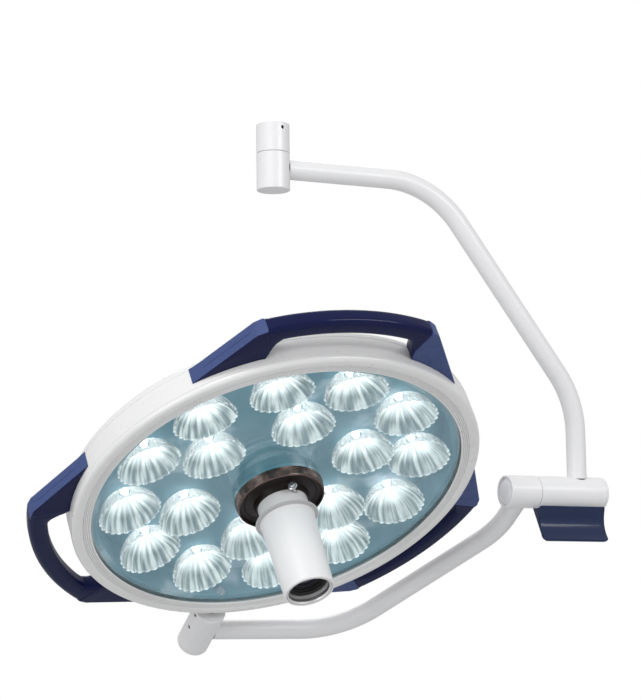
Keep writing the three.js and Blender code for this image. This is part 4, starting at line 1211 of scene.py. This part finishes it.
def build_sterile_handle():
    """The turning collar, its latch pin, and the sleeve that pulls off it."""
    low, tip, skirt, bore = HEAD.span("handle_collar")
    sleeve_low, sleeve_tip, flange, _ = HEAD.span("sterile_sleeve")
    lean = -(HEAD.basis @ np.array(joints["latch_press"]["axis"], float))
    lean /= np.linalg.norm(lean)
    pin = HEAD.of("latch_pin")
    reach = pin @ lean
    start, length = reach.min(), reach.max() - reach.min()
    pin_foot = pin[reach < start + 0.1].mean(axis=0)
    shoulder = sleeve_low - 0.3
    points = HEAD.of("handle_collar")
    body = np.hypot(points[:, 0], points[:, 1])[points[:, 2] > shoulder - 0.1].max()
    skirt_top = points[np.hypot(points[:, 0], points[:, 1]) > skirt - 0.1][:, 2].max()
    profile = [
        (bore, low, 0.3), (skirt, low, 0.6), (skirt, skirt_top, 0.4), (body, skirt_top + 0.6, 0.3),
        (body, shoulder - 2.2, 0.3), (body - 0.4, shoulder - 1.8, 0.15),
        (body - 0.4, shoulder - 1.2, 0.15), (body, shoulder - 0.8, 0.2), (body, shoulder, 0.3),
        (33, shoulder, 0.4), (33, tip, 0.8), (bore, tip, 0.4),
    ]
    collar = lathe("handle_collar_turned", HEAD, profile, ROUND, CRISP)
    stem, knob = 2.5, 6.6
    hole = rod("hole", HEAD, pin_foot - lean * 7.5, lean, stem + 0.4, 21, 40)
    carved(collar, [hole])
    piece(collar, "sterile_handle", handle_white, "handle_white", "handle_collar")

    profile = [
        (0, 0), (stem, 0, 0.3), (stem, length - 9.6, 0.1), (stem - 0.4, length - 9.2, 0.1),
        (stem - 0.4, length - 8.4, 0.1), (stem, length - 8.0, 0.1), (stem, length - 4.0, 0.3),
        (stem + 1.6, length - 3.2, 0.4), (knob, length - 3.0, 0.5), (knob, length - 1.9, 0.5),
        (knob - 1.2, length - 1.3, 0.3), (stem + 1.0, length - 1.5, 0.4),
        (stem + 0.3, length - 0.5, 0.4),
        *spline([(stem - 0.4, length - 0.15), (1.0, length - 0.02), (0, length)], 5),
    ]
    latch = lathe("latch_pin_turned", along(HEAD, pin_foot, lean), profile, 64, 25)
    piece(latch, "latch", steel, "steel", "latch_pin")

    profile = [
        (33.4, sleeve_low, 0.4), (flange - 0.3, sleeve_low, 0.3), (flange, sleeve_low + 0.4, 0.3),
        (flange, sleeve_low + 1.6, 0.4), (flange - 0.7, sleeve_low + 2.3, 0.3),
        (40.1, sleeve_low + 3.0, 0.25), (39.3, sleeve_low + 4.0, 0.3), (37.7, sleeve_low + 52),
        (35.8, sleeve_tip - 2.2, 1.4), (34.7, sleeve_tip, 0.8), (32.8, sleeve_tip, 0.3),
        (32.8, sleeve_tip - 8, 0.3), (30.8, sleeve_tip - 8, 0.3), (30.8, tip + 4, 0.8),
        (33.4, tip + 4, 0.6),
    ]
    sleeve = lathe("sterile_sleeve_smooth", HEAD, profile, FINE, CRISP)
    # The flange faces get the grey paint: painted shade on the flange.
    paint_faces(sleeve, lambda p: p[:, 2] < sleeve_low + 3.2)
    piece(sleeve, "sleeve", [handle_white, flange_painted_shade], "handle_white", "sterile_sleeve")
    back, front, radius, inside = HEAD.span("sleeve_tip_ring")
    profile = [
        (inside, back, 0.3), (radius, back, 0.3), (radius, front - 1.1, 0.25),
        (radius - 0.8, front, 0.3), (inside + 1.3, front, 0.4), (inside, front - 2.2, 0.4),
    ]
    turned("sleeve_tip_ring", "turned", HEAD, profile, FINE, "sleeve", tip_steel, "tip_steel", CRISP)


build_first_hub()
build_second_hub()
build_panel()
build_inner_arm()
build_shell()
build_optics()
for number in (1, 2, 3):
    build_handle(f"grab_handle_{number}")
build_centre()
build_sterile_handle()
for name in ("swivel_axle", "swivel_bearing", "pivot_axle", "pivot_bearing", "yoke_bearing"):
    keep(name, steel)
keep("heat_sink", cast)
keep("led_board", circuit_board)
keep("driver_box", driver_black)


# ---------------------------------------------------------------- studio
def camera():
    data = bpy.data.cameras.new("camera")
    data.lens = 110.32
    data.sensor_width = 36
    data.clip_end = 60
    obj = bpy.data.objects.new("camera", data)
    right, up = (0.91223, -0.40947, -0.01321), (-0.04955, -0.14228, 0.98858)
    back = (-0.40667, -0.90116, -0.15008)
    spot = (-1.19893, -2.81625, -0.79965)
    obj.matrix_world = Matrix([*zip(right, up, back, spot), (0, 0, 0, 1)])
    scene.collection.objects.link(obj)
    scene.camera = obj


def area(name, at, towards, size, watts, colour=(1, 1, 1)):
    data = bpy.data.lights.new(name, "AREA")
    data.shape = "RECTANGLE"
    data.size, data.size_y = size
    data.energy = watts
    data.color = colour
    obj = bpy.data.objects.new(name, data)
    back = np.array(at, float) - np.array(towards, float)
    obj.location = at
    obj.rotation_mode = "QUATERNION"
    obj.rotation_quaternion = Vector(tuple(back)).to_track_quat("Z", "Y")
    scene.collection.objects.link(obj)


def studio():
    world = bpy.data.worlds.new("studio")
    scene.world = world
    world.use_nodes = True
    world.node_tree.nodes.clear()
    w = Nodes(world.node_tree)
    out = w.node("OutputWorld")
    seen = w.node("Background", Color=(1, 1, 1), Strength=1.0)
    lit = w.node("Background", Strength=1.0)
    blend = w.node("MixShader")
    path = w.node("LightPath")
    coords = w.node("TexCoord")
    split = w.node("SeparateXYZ", None, {0: coords.outputs["Generated"]})
    height = w.node("MapRange", Value=split.outputs["Z"], From_Min=-1, From_Max=1)
    shades = [(0.0, (0.12, 0.122, 0.13)), (0.5, (0.5, 0.502, 0.506)), (1.0, (0.74, 0.74, 0.74))]
    w.set(lit, {"Color": w.ramp(height.outputs[0], shades)})
    w.set(blend, {0: path.outputs["Is Camera Ray"], 1: lit.outputs[0], 2: seen.outputs[0]})
    w.set(out, {"Surface": blend.outputs[0]})

    area("key", (-2.4, -2.4, 2.0), (0.1, 0, -0.45), (1.8, 1.4), 60)
    area("left", (-3.1, -1.5, -0.4), (0.1, 0, -0.45), (1.4, 1.2), 20)
    area("fill", (1.35, -2.65, 0.65), (0, 0, -0.45), (1.6, 0.5), 20)
    area("back", (0.6, 2.2, 1.6), (0.1, 0, -0.3), (1.8, 1.0), 18)

    floor_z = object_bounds()[0].z - 0.5
    verts = [(0, 0, floor_z)] + [
        (7 * math.cos(2 * math.pi * k / 96), 7 * math.sin(2 * math.pi * k / 96), floor_z) for k in range(96)
    ]
    mesh = bpy.data.meshes.new("floor")
    mesh.from_pydata(verts, [], [[0, k + 1, (k + 1) % 96 + 1] for k in range(96)])
    floor = bpy.data.objects.new("floor", mesh)
    scene.collection.objects.link(floor)
    p = Paint("floor_pale", Roughness=0.9, Specular_IOR_Level=0.2)
    tone = p.ramp(p.noise(3, 2), [(0.3, (0.57, 0.57, 0.57)), (0.7, (0.61, 0.61, 0.61))])
    mesh.materials.append(p.use(Base_Color=tone))
    floor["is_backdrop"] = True


camera()
studio()
scene.view_settings.view_transform = "Standard"
scene.view_settings.look = "None"
